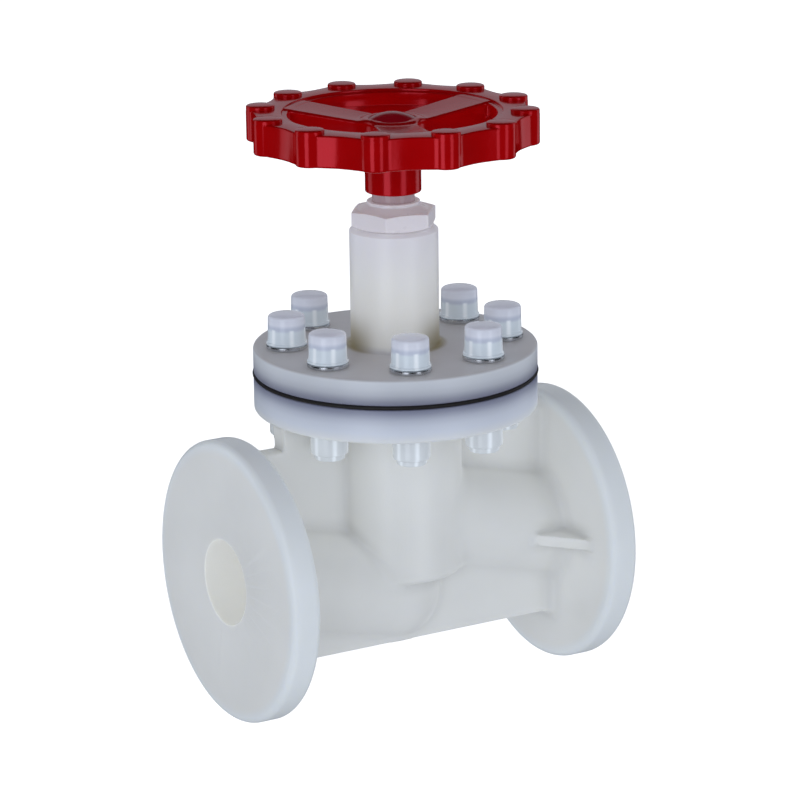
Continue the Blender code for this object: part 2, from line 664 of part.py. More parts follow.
def turn_point(point, angle):
    """A flat point turned about the stem axis."""
    x, y = point
    return (x * math.cos(angle) - y * math.sin(angle), x * math.sin(angle) + y * math.cos(angle))


def wheel_rim():
    """The scalloped rim as a closed band, open in the middle, with softened edges."""
    low, high = WHEEL_Z
    bm = prism(wheel_outline(6, 3), low, high)
    rim_edges = [e for e in bm.edges if abs(e.verts[0].co.z - e.verts[1].co.z) < MERGE]
    bmesh.ops.bevel(bm, geom=rim_edges, offset=0.0014, segments=1, profile=0.5, affect="EDGES")
    return bm


def spoke(number):
    """A spoke with chamfered top edges, wider and deeper at the rim."""
    near, far = SPOKE_HALF
    high = SPOKE_TOP_Z
    start, end = SPOKE_SPAN
    bm = prism([(start, -near), (end, -far), (end, far), (start, near)], SPOKE_LOW_Z, high)
    top_edges = [e for e in bm.edges if all(abs(v.co.z - high) < MERGE for v in e.verts)]
    bmesh.ops.bevel(bm, geom=top_edges, offset=0.0020, segments=1, profile=0.5, affect="EDGES")
    for v in bm.verts:
        if v.co.z > SPOKE_LOW_Z + MERGE:
            v.co.z += SPOKE_RISE * (v.co.x - SPOKE_LEVEL_R)
    a = SPOKE_FIRST_ANGLE + math.tau * number / SPOKE_COUNT
    bmesh.ops.rotate(bm, verts=bm.verts, cent=(0, 0, 0), matrix=Matrix.Rotation(a, 3, "Z"))
    return bm


def wheel_knob():
    """A round lobe that stands a little above the rim."""
    low, high = WHEEL_Z[0], KNOB_TOP_Z
    return turned(disc_profile(KNOB_R, low, high, 0.0003, 0.0014, 1), 12)


def handwheel(spindle, finish):
    """The one-piece handwheel: rim, three spokes, hub and twelve pads."""
    made = placed("handwheel", wheel_rim(), finish, parent=spindle)
    opening = operand_group("wheel_opening")
    below, above = WHEEL_Z[0] - CUT_OVER, WHEEL_Z[1] + CUT_OVER
    hollow_in, hollow_out = RIM_HOLLOW_R
    bore = [(0, below), (hollow_in + CUT_OVER, below), (hollow_in + CUT_OVER, RIM_INNER_LOW_Z)]
    bore += [(RIM_INNER_R, RIM_INNER_LOW_Z), (RIM_INNER_R, LEDGE_Z), (LEDGE_R, LEDGE_Z)]
    bore += [(LEDGE_R, above), (0, above)]
    operand("wheel_opening_cut", turned(bore, 40), opening, finish)
    groove = ring(hollow_in, hollow_out, below, RIM_HOLLOW_TOP_Z, 36)
    operand("wheel_underside_cut", groove, opening, finish)
    combine(made, "DIFFERENCE", opening)
    solids = operand_group("wheel_solids")
    hub = [(0, HUB_BOTTOM_Z), (HUB_R - 0.001, HUB_BOTTOM_Z), (HUB_R, HUB_BOTTOM_Z + 0.001)]
    hub += [(HUB_R, WHEEL_Z[0] - 0.0015), (HUB_COLLAR_R, SPOKE_LOW_Z), (HUB_COLLAR_R, HUB_TOP_Z - 0.001)]
    hub += [(HUB_COLLAR_R - 0.001, HUB_TOP_Z), (0, HUB_TOP_Z)]
    operand("wheel_hub_solid", turned(hub, 32), solids, finish)
    for number in range(SPOKE_COUNT):
        operand(f"wheel_spoke_solid_{number + 1}", spoke(number), solids, finish)
    for number in range(KNOB_COUNT):
        a = KNOB_FIRST_ANGLE + math.tau * number / KNOB_COUNT
        bm = wheel_knob()
        place = (KNOB_CIRCLE_R * math.cos(a), KNOB_CIRCLE_R * math.sin(a), 0)
        bmesh.ops.translate(bm, verts=bm.verts, vec=place)
        operand(f"wheel_knob_solid_{number + 1}", bm, solids, finish)
    combine(made, "UNION", solids)
    seat = operand_group("wheel_seat")
    below, above = HUB_BOTTOM_Z - CUT_OVER, HUB_TOP_Z + CUT_OVER
    spigot = STEM_END_R + GAP
    bore = [(0, below), (STEM_R + GAP, below), (STEM_R + GAP, STEM_SHOULDER_Z + GAP)]
    bore += [(spigot, STEM_SHOULDER_Z + GAP), (spigot, CAP_WELL_Z), (CAP_WELL_R, CAP_WELL_Z)]
    bore += [(CAP_WELL_R, above), (0, above)]
    operand("wheel_seat_cut", turned(bore, 32), seat, finish)
    combine(made, "DIFFERENCE", seat)
    return made


def wheel_fixing(spindle, finish, steel):
    """The washer and nut that hold the wheel on the stem, and the domed cap over them."""
    washer_low = CAP_WELL_Z + 0.0013
    nut_low = washer_low + WHEEL_WASHER_T + GAP
    nut_high = STEM_TIP_Z - 0.0010
    bore_r = STEM_TIP_R + GAP
    washer = ring(bore_r, CAP_WELL_R - 0.001, washer_low, washer_low + WHEEL_WASHER_T, 24)
    placed("wheel_washer", washer, steel, parent=spindle)
    nut = placed("wheel_nut", prism(hexagon(WHEEL_NUT_R), nut_low, nut_high), steel, parent=spindle)
    hole = operand_group("wheel_nut_hole")
    bore = tube((0, 0, nut_low - CUT_OVER), (0, 0, nut_high + CUT_OVER), bore_r, bore_r, 20)
    operand("wheel_nut_hole_cut", bore, hole, steel)
    combine(nut, "DIFFERENCE", hole)
    placed("wheel_cap", turned(cap_profile(), 24), finish, parent=spindle)


def cap_profile():
    """The push-in cap: a skirt inside the hub and a shallow dome over it."""
    rise = CAP_DOME_RISE
    sphere_r = (CAP_DOME_R**2 + rise**2) / (2 * rise)
    lip = HUB_TOP_Z + GAP
    half_angle = math.degrees(math.asin(CAP_DOME_R / sphere_r))
    centre = (0, lip + rise - sphere_r)
    dome = arc(centre, sphere_r, 90 - half_angle, 90, 5)[:-1] + [(0, lip + rise)]
    inner, outer = CAP_SKIRT_R
    skirt = [(0, lip - 0.0008), (inner, lip - 0.0018), (inner, CAP_SKIRT_Z), (outer, CAP_SKIRT_Z), (outer, lip)]
    return skirt + dome


def main():
    for old in list(bpy.data.objects):
        bpy.data.objects.remove(old)
    milky = material("milky_polymer", (0.86, 0.87, 0.84), 0.35)
    clear = material("clear_cap_polymer", (0.80, 0.84, 0.87), 0.15)
    steel = material("zinc_steel", (0.62, 0.63, 0.65), 0.30, 1.0)
    rubber = material("black_rubber", (0.02, 0.02, 0.02), 0.60)
    red = material("red_polymer", (0.55, 0.01, 0.02), 0.25)
    ptfe = material("white_packing", (0.92, 0.92, 0.90), 0.50)
    valve_body(milky)
    bonnet(milky)
    body_gasket(rubber)
    seat_ring(ptfe)
    stem_bush(milky)
    packing(ptfe, milky)
    gland_nut(milky)
    bolting(steel, clear)
    carrier = bpy.data.objects.new("disc_carrier", None)
    spindle = bpy.data.objects.new("spindle_axis", None)
    for axis_empty in (carrier, spindle):
        bpy.context.scene.collection.objects.link(axis_empty)
    disc_parts(carrier, milky, rubber, steel)
    stem(spindle, milky)
    handwheel(spindle, red)
    wheel_fixing(spindle, red, steel)


main()
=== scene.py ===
"""The looks of the flanged plastic globe valve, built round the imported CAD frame. Lengths are in metres."""

import json
import math

import bmesh
import bpy
import numpy as np
from mathutils import Matrix, Vector


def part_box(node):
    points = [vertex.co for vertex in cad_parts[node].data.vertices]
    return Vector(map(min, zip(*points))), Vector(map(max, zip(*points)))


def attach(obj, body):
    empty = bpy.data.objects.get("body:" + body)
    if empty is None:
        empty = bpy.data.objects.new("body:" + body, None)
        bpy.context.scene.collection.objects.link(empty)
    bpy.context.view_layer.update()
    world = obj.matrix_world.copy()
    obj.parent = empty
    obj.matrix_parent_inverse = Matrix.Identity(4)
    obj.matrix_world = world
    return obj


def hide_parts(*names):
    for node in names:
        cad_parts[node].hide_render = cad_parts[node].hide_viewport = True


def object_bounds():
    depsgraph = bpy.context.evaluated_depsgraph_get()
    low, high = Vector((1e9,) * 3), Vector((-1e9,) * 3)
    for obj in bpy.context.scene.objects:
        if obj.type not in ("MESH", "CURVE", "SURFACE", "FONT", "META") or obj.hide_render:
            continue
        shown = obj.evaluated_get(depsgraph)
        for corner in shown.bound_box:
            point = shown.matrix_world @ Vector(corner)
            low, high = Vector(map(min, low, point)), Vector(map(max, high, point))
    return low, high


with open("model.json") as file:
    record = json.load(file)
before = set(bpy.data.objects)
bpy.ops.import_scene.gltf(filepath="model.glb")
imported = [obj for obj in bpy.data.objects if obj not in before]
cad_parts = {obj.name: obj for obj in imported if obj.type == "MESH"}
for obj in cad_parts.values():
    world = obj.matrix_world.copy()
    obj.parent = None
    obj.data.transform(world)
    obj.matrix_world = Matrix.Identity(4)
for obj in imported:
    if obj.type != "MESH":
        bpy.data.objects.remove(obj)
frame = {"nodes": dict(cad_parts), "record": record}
CAD_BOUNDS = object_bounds()
NODES = frame["nodes"]
MM = 0.001


# Sizes, read from the frame where it gives them

BODY_LOW, BODY_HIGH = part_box("valve_body")
BONNET_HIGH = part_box("bonnet")[1]
GASKET_LOW, GASKET_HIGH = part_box("body_gasket")
GLAND_LOW, GLAND_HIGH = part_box("gland_nut")
WHEEL_LOW, WHEEL_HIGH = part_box("handwheel")
CAP_LOW, CAP_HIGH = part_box("wheel_cap")

FACE_X = BODY_HIGH.x
FLANGE_R = BODY_HIGH.y
FLANGE_T = 18 * MM
FLANGE_BACK = FACE_X - FLANGE_T
FLANGE_ROUND = 4.2 * MM
PORT_R = 25 * MM
DUCT_R = 32.5 * MM
DUCT_SLOPE = math.radians(13.6)
INLET_END_X = 9 * MM
OUTLET_END_X = 8 * MM
CHAMBER_R = 38 * MM
CHAMBER_BORE_R = 29 * MM
CHAMBER_BOTTOM = -10.6 * MM
TOP_FLANGE_UNDER = 88.5 * MM
WEB_HALF = 6 * MM
WEB_TOP = 74 * MM
WEB_BOTTOM = -10 * MM
WEB_STEP_X = FLANGE_R - 4 * MM
BEAM_HALF = 20 * MM
BEAM_TOP = -8 * MM
BEAM_BOTTOM = -50 * MM
GUSSET_TOP = 5 * MM
GUSSET_T = 7 * MM
GUSSET_REACH = 61 * MM
GUSSET_ANGLE = math.radians(50)

# The skin: how far its ribs sink into the flanges, how far it stays inside them, its edges and its fillets

SINK = 4 * MM
SKIN_INSET = 1.5 * MM
SKIN_RECESS = 0.25 * MM
FACE_RECESS = 0.6 * MM
CHAMBER_EDGE = 4 * MM
WEB_EDGE = 2.5 * MM
BEAM_EDGE = 2.2 * MM
GUSSET_EDGE = 1.2 * MM
PIPE_FLANGE_EDGE = 4 * MM
TOP_FLANGE_EDGE = 2 * MM
BORE_EDGE = 0.5 * MM
INLET_FILLET = 4 * MM
OUTLET_FILLET = 5 * MM
WEB_FILLET = 4 * MM
BEAM_FILLET = 3 * MM
PIPE_FLANGE_FILLET = 11 * MM
GUSSET_FILLET = 2.5 * MM
TOP_FLANGE_FILLET = 5 * MM
PORT_BREAK = 0.4 * MM
PORT_DEPTH = 30 * MM
MOUTH_LOW = 70 * MM
MOUTH_HIGH = 130 * MM

# The way through: ((x, z), radius) along each route, and (radius, low, high) of each bore round the stem axis

INLET_ROUTE = (((-FACE_X - 30 * MM, 0.0), PORT_R), ((-90.5 * MM, 0.0), PORT_R),
               ((-58 * MM, -8.5 * MM), 22.5 * MM), ((-26 * MM, -26 * MM), 19 * MM),
               ((-4 * MM, -26 * MM), 19 * MM))
OUTLET_ROUTE = (((12 * MM, 30.5 * MM), 21.5 * MM), ((80 * MM, 4 * MM), 24 * MM),
                ((FACE_X + 30 * MM, 0.0), PORT_R))
UPRIGHT_BORES = ((21 * MM, -26 * MM, 4 * MM), (27.6 * MM, 2 * MM, 10 * MM),
                 (CHAMBER_BORE_R, 8.3 * MM, MOUTH_HIGH))

BOLT_CIRCLE_R = 63.1 * MM
BOLT_COUNT = 8
BOLT_FIRST_ANGLE = math.radians(22.5)
BOLT_HOLE_R = 5.6 * MM
CAP_RECESS_R = 10.2 * MM
CAP_RECESS_H = 10.5 * MM
CAP_TURN = math.radians(17)
BONNET_FLANGE_LOW = GASKET_HIGH.z + 0.3 * MM
BONNET_FLANGE_TOP = 125.9 * MM
SPIGOT_R = CHAMBER_BORE_R - 0.3 * MM
SPIGOT_LOW = 96 * MM
STEM_ROOM_R = 17.8 * MM
STEM_ROOM_TOP = 150.3 * MM
GUIDE_R = 13 * MM
GUIDE_TOP = 160 * MM
NECK_R = 25.7 * MM
STEM_BORE_R = 12.7 * MM
PACKING_BOX_R = 18 * MM
GLAND_HEX_R = 25.8 * MM
GLAND_HEX_LOW = 195.8 * MM
GLAND_HEX_HIGH = 206.0 * MM
GLAND_CONE_TOP = 208.6 * MM
GLAND_HEX_TURN = math.radians(-10)
GLAND_BOSS_R = 15.35 * MM

WHEEL_RIM_LOW = 244.5 * MM
WHEEL_RIM_HIGH = 263.0 * MM
WHEEL_LEDGE = 261.5 * MM
WHEEL_LEDGE_R = 63.2 * MM
WHEEL_INNER_R = 60.0 * MM
WHEEL_INNER_LOW = 253.6 * MM
WHEEL_HOLLOW_R = 65 * MM
GROOVE_TOP = WHEEL_RIM_LOW + 12.5 * MM
GROOVE_R = 72.5 * MM
GROOVE_MOUTH_R = 73 * MM
RIM_EDGE = 1.3 * MM
LEDGE_EDGE = 0.7 * MM
SPOKE_LOW = 247 * MM
SPOKE_TOP = 257.5 * MM
SPOKE_RISE = 0.107
SPOKE_LEVEL_R = 18 * MM
SPOKE_COUNT = 3
SPOKE_FIRST_ANGLE = math.radians(7.4)
SPOKE_HALF_NEAR = 12.0 * MM
SPOKE_HALF_FAR = 14.5 * MM
SPOKE_REACH = WHEEL_INNER_R + 4 * MM
SPOKE_EDGE = 1.6 * MM
SPOKE_FILLET = 5 * MM
BAND_FILLET = 3 * MM
HUB_TOP = 257.7 * MM
HUB_R = 16.2 * MM
HUB_COLLAR_R = 16.4 * MM
HUB_SKIRT_TOP = 249 * MM
STEM_SOCKET_R = 12.6 * MM
STEM_SOCKET_TOP = 222.8 * MM
STEM_END_R = 9.3 * MM
CAP_SEAT_R = 13.5 * MM
CAP_SEAT_LOW = 244.3 * MM
CAP_SEAT_HIGH = 262 * MM
DOME_R = 14 * MM
DOME_SKIRT_R = 13.2 * MM
DOME_BORE_R = 11.8 * MM
KNOB_COUNT = 12
KNOB_CIRCLE_R = 76.0 * MM
KNOB_R = 8.3 * MM
KNOB_FIRST_ANGLE = math.radians(82.65)
LOBE_R = 8.42 * MM
LOBE_SPAN = math.radians(58)
VALLEY_R = 77.8 * MM


# Mesh helpers


def placed(name, data):
    """Mesh, light or camera data as an object in the scene."""
    made = bpy.data.objects.new(name, data)
    bpy.context.scene.collection.objects.link(made)
    return made


def link(name, mesh, body, material, hides):
    """A mesh as a piece that rides on a body, takes a material and hides the CAD nodes it stands for."""
    piece = placed(name, mesh)
    mesh.materials.clear()
    mesh.materials.append(material)
    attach(piece, body)
    for node in hides:
        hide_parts(node)


def smoothed(mesh, sharp):
    """Mesh data shaded smooth, with sharp edges past an angle in degrees."""
    mesh.shade_smooth()
    mesh.set_sharp_from_angle(angle=math.radians(sharp))
    return mesh


def mesh_from(name, bm, sharp=35):
    """A bmesh as smooth-shaded mesh data."""
    mesh = bpy.data.meshes.new(name)
    bm.to_mesh(mesh)
    bm.free()
    return smoothed(mesh, sharp)


def arc(centre, radius, start, end, steps):
    """Points on an arc in the (radius, height) plane, angles in degrees."""
    angles = [math.radians(start + (end - start) * i / steps) for i in range(steps + 1)]
    return [(centre[0] + radius * math.cos(a), centre[1] + radius * math.sin(a)) for a in angles]


def turned(profile, segments, along_x=False):
    """A (radius, height) profile spun about Z, or about X; one that ends on the axis makes a solid."""
    bm = bmesh.new()
    verts = [bm.verts.new((r, 0, z)) for r, z in profile]
    open_ended = profile[0][0] == 0 and profile[-1][0] == 0
    count = len(verts) - 1 if open_ended else len(verts)
    edges = [bm.edges.new((verts[i], verts[(i + 1) % len(verts)])) for i in range(count)]
    bmesh.ops.spin(bm, geom=verts + edges, cent=(0, 0, 0), axis=(0, 0, 1), dvec=(0, 0, 0),
                   angle=math.tau, steps=segments, use_merge=True)
    bmesh.ops.remove_doubles(bm, verts=bm.verts, dist=1e-7)
    if along_x:
        bmesh.ops.rotate(bm, verts=bm.verts, cent=(0, 0, 0), matrix=Matrix.Rotation(math.pi / 2, 3, "Y"))
    bmesh.ops.recalc_face_normals(bm, faces=bm.faces)
    return bm


def cylinder(radius, low, high):
    """The profile of a plain cylinder."""
    return [(0, low), (radius, low), (radius, high), (0, high)]


def loft(rings):
    """A closed tube of quads through rings of equal length, the last ring joined back to the first."""
    bm = bmesh.new()
    rows = [[bm.verts.new(p) for p in one] for one in rings]
    count = len(rows[0])
    for i in range(len(rows)):
        here, there = rows[i], rows[(i + 1) % len(rows)]
        for j in range(count):
            bm.faces.new((here[j], here[(j + 1) % count], there[(j + 1) % count], there[j]))
    bmesh.ops.recalc_face_normals(bm, faces=bm.faces)
    return bm


def hexagon(circumradius, low, high, turn=0.0):
    """An upright hexagonal prism."""
    bm = bmesh.new()
    angles = [turn + math.tau * i / 6 for i in range(6)]
    corners = [(circumradius * math.cos(a), circumradius * math.sin(a)) for a in angles]
    bottom = [bm.verts.new((x, y, low)) for x, y in corners]
    top = [bm.verts.new((x, y, high)) for x, y in corners]
    bm.faces.new(bottom[::-1])
    bm.faces.new(top)
    for i in range(6):
        bm.faces.new((bottom[i], bottom[(i + 1) % 6], top[(i + 1) % 6], top[i]))
    return bm


def bolt_places():
    """The number and place of each bolt on the bolt circle."""
    for i in range(BOLT_COUNT):
        a = BOLT_FIRST_ANGLE + math.tau * i / BOLT_COUNT
        yield i + 1, BOLT_CIRCLE_R * math.cos(a), BOLT_CIRCLE_R * math.sin(a)


def bolt_hole_cutters(low, high):
    """One helper cylinder for each clearance hole on the bolt circle."""
    cutters = []
    for number, x, y in bolt_places():
        bm = turned(cylinder(BOLT_HOLE_R, low, high), 24)
        bmesh.ops.translate(bm, verts=bm.verts, vec=(x, y, 0))
        cutters.append(helper(f"bolt_hole_{number}", bm))
    return cutters


def helper(name, bm):
    """A closed shape used only in a Boolean and removed afterwards."""
    return placed(name, mesh_from(name, bm))


def join(base, operation, others):
    """Applies a Boolean to a base object for each helper, and removes the helpers."""
    for other in others:
        modifier = base.modifiers.new(other.name, "BOOLEAN")
        modifier.operation = operation
        modifier.object = other
        modifier.solver = "MANIFOLD"
    bpy.context.view_layer.update()
    graph = bpy.context.evaluated_depsgraph_get()
    mesh = bpy.data.meshes.new_from_object(base.evaluated_get(graph))
    base.modifiers.clear()
    base.data = mesh
    for other in others:
        bpy.data.objects.remove(other)


def finish_piece(name, base, body, material, hides, sharp=40):
    """A Boolean's result as a piece of its own."""
    mesh = base.data
    bpy.data.objects.remove(base)
    mesh.name = name
    link(name, smoothed(mesh, sharp), body, material, hides)


# Distance fields: the body's outer skin is where blend_body is zero


def smooth_min(a, b, k):
    """The union of two distance fields with a fillet of about radius k."""
    h = np.maximum(k - np.abs(a - b), 0.0) / k
    return np.minimum(a, b) - h * h * k * 0.25


def round_disc(radial, axial, radius, half, edge):
    """Distance to a disc or cylinder with rounded edges."""
    dr = radial - (radius - edge)
    da = np.abs(axial) - (half - edge)
    outside = np.sqrt(np.maximum(dr, 0) ** 2 + np.maximum(da, 0) ** 2)
    return outside + np.minimum(np.maximum(dr, da), 0) - edge


def upright_disc(upright, z, radius, low, high, edge):
    """Distance to a disc or cylinder that stands between two heights."""
    return round_disc(upright, z - (low + high) / 2, radius, (high - low) / 2, edge)


def round_box(dx, dy, dz, edge):
    """Distance to a box with rounded edges, given the distances past each pair of faces."""
    dx, dy, dz = dx + edge, dy + edge, dz + edge
    outside = np.sqrt(np.maximum(dx, 0) ** 2 + np.maximum(dy, 0) ** 2 + np.maximum(dz, 0) ** 2)
    return outside + np.minimum(np.maximum(np.maximum(dx, dy), dz), 0) - edge


def capsule(x, y, z, start, end, start_r, end_r):
    """Distance to a tapering round-ended bar between two points on the plane y = 0."""
    ex, ez = end[0] - start[0], end[1] - start[1]
    length2 = ex * ex + ez * ez
    t = np.clip(((x - start[0]) * ex + (z - start[1]) * ez) / length2, 0, 1)
    away = np.sqrt((x - start[0] - t * ex) ** 2 + y * y + (z - start[1] - t * ez) ** 2)
    return away - (start_r + (end_r - start_r) * t)


def duct_rise(x):
    """How far a duct's axis has risen or dropped at a distance x from the stem axis."""
    return (FLANGE_BACK - x) * math.tan(DUCT_SLOPE)


def blend_body(x, y, z):
    """The body as a distance field: its outer skin with every joint filleted, less the way through."""
    upright = np.sqrt(x * x + y * y)
    skin = upright_disc(upright, z, CHAMBER_R, CHAMBER_BOTTOM, TOP_FLANGE_UNDER + 6 * MM, CHAMBER_EDGE)
    for side, end_x, fillet in ((-1, INLET_END_X, INLET_FILLET), (1, OUTLET_END_X, OUTLET_FILLET)):
        end = (side * end_x, side * duct_rise(end_x))
        duct = capsule(x, y, z, (side * FLANGE_BACK, 0.0), end, DUCT_R, DUCT_R)
        skin = smooth_min(skin, duct, fillet)
    past_flange = np.abs(x) - FLANGE_BACK - SINK
    web_z = np.maximum(z - web_top(x), WEB_BOTTOM - z)
    skin = smooth_min(skin, round_box(past_flange, np.abs(y) - WEB_HALF, web_z, WEB_EDGE), WEB_FILLET)
    beam_z = np.maximum(z - BEAM_TOP, BEAM_BOTTOM - z)
    skin = smooth_min(skin, round_box(past_flange, np.abs(y) - BEAM_HALF, beam_z, BEAM_EDGE), BEAM_FILLET)
    radial = np.sqrt(y * y + z * z)
    for side in (-1, 1):
        along = x - side * (FACE_X - FLANGE_T / 2)
        disc = round_disc(radial, along, FLANGE_R - SKIN_INSET, FLANGE_T / 2 - SKIN_RECESS, PIPE_FLANGE_EDGE)
        skin = smooth_min(skin, disc, PIPE_FLANGE_FILLET)
    skin = smooth_min(skin, gusset_field(x, y, z), GUSSET_FILLET)
    low, high = TOP_FLANGE_UNDER + SKIN_RECESS, BODY_HIGH.z - SKIN_RECESS
    top = upright_disc(upright, z, FLANGE_R - SKIN_INSET, low, high, TOP_FLANGE_EDGE)
    skin = smooth_min(skin, top, TOP_FLANGE_FILLET)
    skin = np.maximum(skin, np.abs(x) - (FACE_X - FACE_RECESS))
    return np.maximum(skin, -way_through(x, y, z))


def way_through(x, y, z):
    """Distance to the hollow: inlet, under the seat, up the seat port, chamber and outlet."""
    upright = np.sqrt(x * x + y * y)
    hollow = np.inf
    for route in (INLET_ROUTE, OUTLET_ROUTE):
        for (start, start_r), (end, end_r) in zip(route[:-1], route[1:]):
            hollow = np.minimum(hollow, capsule(x, y, z, start, end, start_r, end_r))
    for radius, low, high in UPRIGHT_BORES:
        hollow = np.minimum(hollow, upright_disc(upright, z, radius, low, high, BORE_EDGE))
    return hollow


def web_top(x):
    """The web's upper edge: up to the top flange, then a step down to the pipe flanges."""
    return np.where(np.abs(x) < WEB_STEP_X, TOP_FLANGE_UNDER + 3 * MM, WEB_TOP)


def gusset_field(x, y, z):
    """The flat triangular gussets each side of the ducts at both flanges."""
    along = np.abs(x) - (FLANGE_BACK + SINK)
    toward = FLANGE_BACK - np.abs(x)
    slanted = toward * math.sin(GUSSET_ANGLE) + (np.abs(y) - GUSSET_REACH) * math.cos(GUSSET_ANGLE)
    thick = np.abs(z - (GUSSET_TOP - GUSSET_T / 2)) - GUSSET_T / 2
    return round_box(along, slanted, thick, GUSSET_EDGE)


def field_mesh(name, field, low, high, step):
    """A closed mesh on the zero surface of a field: one vertex per crossed cell, moved onto the surface."""
    axes = [np.arange(low[i], high[i] + step, step) for i in range(3)]
    x, y, z = np.meshgrid(*axes, indexing="ij", sparse=True)
    value = field(x, y, z).astype(np.float32)
    inside = value < 0
    corners = np.zeros(tuple(n - 1 for n in value.shape), np.int8)
    nx, ny, nz = corners.shape
    for i, j, k in np.ndindex(2, 2, 2):
        corners += inside[i:i + nx, j:j + ny, k:k + nz]
    crossed = (corners > 0) & (corners < 8)
    index = -np.ones(crossed.shape, np.int64)
    cells = np.argwhere(crossed)
    index[crossed] = np.arange(len(cells))
    points = onto_surface(field, np.array(low) + (cells + 0.5) * step, step)
    faces = np.concatenate([crossing_quads(inside, index, axis) for axis in range(3)])
    mesh = bpy.data.meshes.new(name)
    mesh.vertices.add(len(points))
    mesh.vertices.foreach_set("co", points.astype(np.float32).ravel())
    mesh.loops.add(len(faces) * 4)
    mesh.loops.foreach_set("vertex_index", faces.astype(np.int32).ravel())
    mesh.polygons.add(len(faces))
    mesh.polygons.foreach_set("loop_start", np.arange(0, len(faces) * 4, 4, dtype=np.int32))
    mesh.update(calc_edges=True)
    return mesh


def onto_surface(field, points, step, rounds=6):
    """Points moved along the field's gradient until the field is zero there."""
    tiny = step * 0.05
    for _ in range(rounds):
        here = field(*points.T)
        slope = np.empty_like(points)
        for i in range(3):
            shift = np.zeros(3)
            shift[i] = tiny
            slope[:, i] = (field(*(points + shift).T) - field(*(points - shift).T)) / (2 * tiny)
        size2 = np.maximum((slope**2).sum(1), 0.2)
        move = slope * (here / size2)[:, None]
        points = points - np.clip(move, -0.6 * step, 0.6 * step)
    return points


def crossing_quads(inside, index, axis):
    """One quad round each grid edge along an axis that crosses the surface, facing outwards."""
    moved = np.moveaxis(inside, axis, 0)
    cell = np.moveaxis(index, axis, 0)
    a, b = moved[:-1, 1:-1, 1:-1], moved[1:, 1:-1, 1:-1]
    quads = []
    for leaving in (True, False):
        spots = np.argwhere((a & ~b) if leaving else (~a & b))
        i, j, k = spots[:, 0], spots[:, 1], spots[:, 2]
        around = [cell[i, j, k], cell[i, j + 1, k], cell[i, j + 1, k + 1], cell[i, j, k + 1]]
        flip = leaving == (axis == 1)
        quads.append(np.stack(around[::-1] if flip else around, axis=1))
    return np.concatenate(quads)


# Materials

WARM_WHITE = (0.68, 0.685, 0.665)
PALE = (0.56, 0.595, 0.66)
# painted highlight in a cooler tone round the pipe flanges' rims
RIM_HIGHLIGHT = (0.68, 0.71, 0.72)
# painted light inside the two ports
BORE_PAINTED_LIGHT = (0.72, 0.72, 0.69)
BONNET_PALE = (0.53, 0.555, 0.59)
BONNET_TOP_GREY = (0.44, 0.44, 0.46)
NECK_FOOT = (0.66, 0.65, 0.61)
NECK_LOWER = (0.72, 0.71, 0.67)
NECK_UPPER = (0.72, 0.715, 0.69)
NECK_TOP = (0.69, 0.68, 0.71)
# painted shade at the foot of the neck, on two opposite flanks
FOOT_SHADE = (0.27, 0.23, 0.13)
FOOT_SIDEWAYS = (0.866, -0.5, 0)
GLAND_COLOUR = (0.68, 0.65, 0.675)
STEM_COLOUR = (0.40, 0.30, 0.32)
PACKING_COLOUR = (0.86, 0.86, 0.84)
CAP_BRIGHT = (0.66, 0.72, 0.77)
CAP_BAND = (0.54, 0.58, 0.68)
CAP_DULL = (0.70, 0.72, 0.79)
# painted highlights at the corners of the hexagons inside the caps
CAP_GLINT = (0.86, 0.90, 0.93)
NUT_CAP_TONE = (0.69, 0.72, 0.74)
ZINC = (0.74, 0.76, 0.79)
RUBBER = (0.016, 0.013, 0.012)
RED = (0.45, 0.0004, 0.0012)
# painted shade on the red faces that look up
RED_TOP_SHADE = (0.40, 0.0003, 0.0010)
DOME_RED = (0.30, 0.001, 0.008)
RED_SHEEN = (1.0, 0.12, 0.16, 1.0)
RED_IOR = 2.2
LIGHT_REACH = (1.0, 0.95, 0.75)
# strength of the painted glow in the milky polymers
GLOW = 0.18
# extra painted glow inside the two ports
BORE_GLOW = 0.10
# reach and depth of the painted shade in inside corners
CREASE_REACH = 9 * MM
CREASE_DEPTH = 0.45
BUMP_DEPTH = 0.2 * MM
SEAL_SHADE = ((1.2, 0.30), (3.7, 0.44), (7.5, 0.76), (11.0, 0.92), (15.0, 1.0))  # mm from the gasket, level


def principled(name, colour, roughness, **values):
    """A Principled material with single values set on its own sockets."""
    made = bpy.data.materials.new(name)
    made.use_nodes = True
    shader = shader_of(made)
    shader.inputs["Base Color"].default_value = (*colour, 1.0)
    shader.inputs["Roughness"].default_value = roughness
    for socket, value in values.items():
        shader.inputs[socket.replace("_", " ")].default_value = value
    made.diffuse_color = (*colour, 1.0)
    return made


def shader_of(material):
    return material.node_tree.nodes["Principled BSDF"]


def node(material, kind, **values):
    """A new node in a material, with some of its inputs or properties set."""
    made = material.node_tree.nodes.new(kind)
    for key, value in values.items():
        if key in made.inputs:
            made.inputs[key].default_value = value
        else:
            setattr(made, key, value)
    return made


def wire(material, source, output, target, socket):
    material.node_tree.links.new(source.outputs[output], target.inputs[socket])


def ranged(material, source, output, start, end, low=0.0, high=1.0, smooth=False):
    """An output scaled from one range to another and held at the ends."""
    made = node(material, "ShaderNodeMapRange", interpolation_type="SMOOTHSTEP" if smooth else "LINEAR")
    for socket, value in (("From Min", start), ("From Max", end), ("To Min", low), ("To Max", high)):
        made.inputs[socket].default_value = value
    wire(material, source, output, made, "Value")
    return made


def multiplied(material, first, second):
    """The product of two nodes' first outputs."""
    made = node(material, "ShaderNodeMath", operation="MULTIPLY")
    wire(material, first, 0, made, 0)
    wire(material, second, 0, made, 1)
    return made


def absolute(material, source, output):
    made = node(material, "ShaderNodeMath", operation="ABSOLUTE")
    wire(material, source, output, made, 0)
    return made


def vector_by(material, operation, source, output, other):
    """A vector output combined with a fixed vector."""
    made = node(material, "ShaderNodeVectorMath", operation=operation)
    made.inputs[1].default_value = other
    wire(material, source, output, made, 0)
    return made


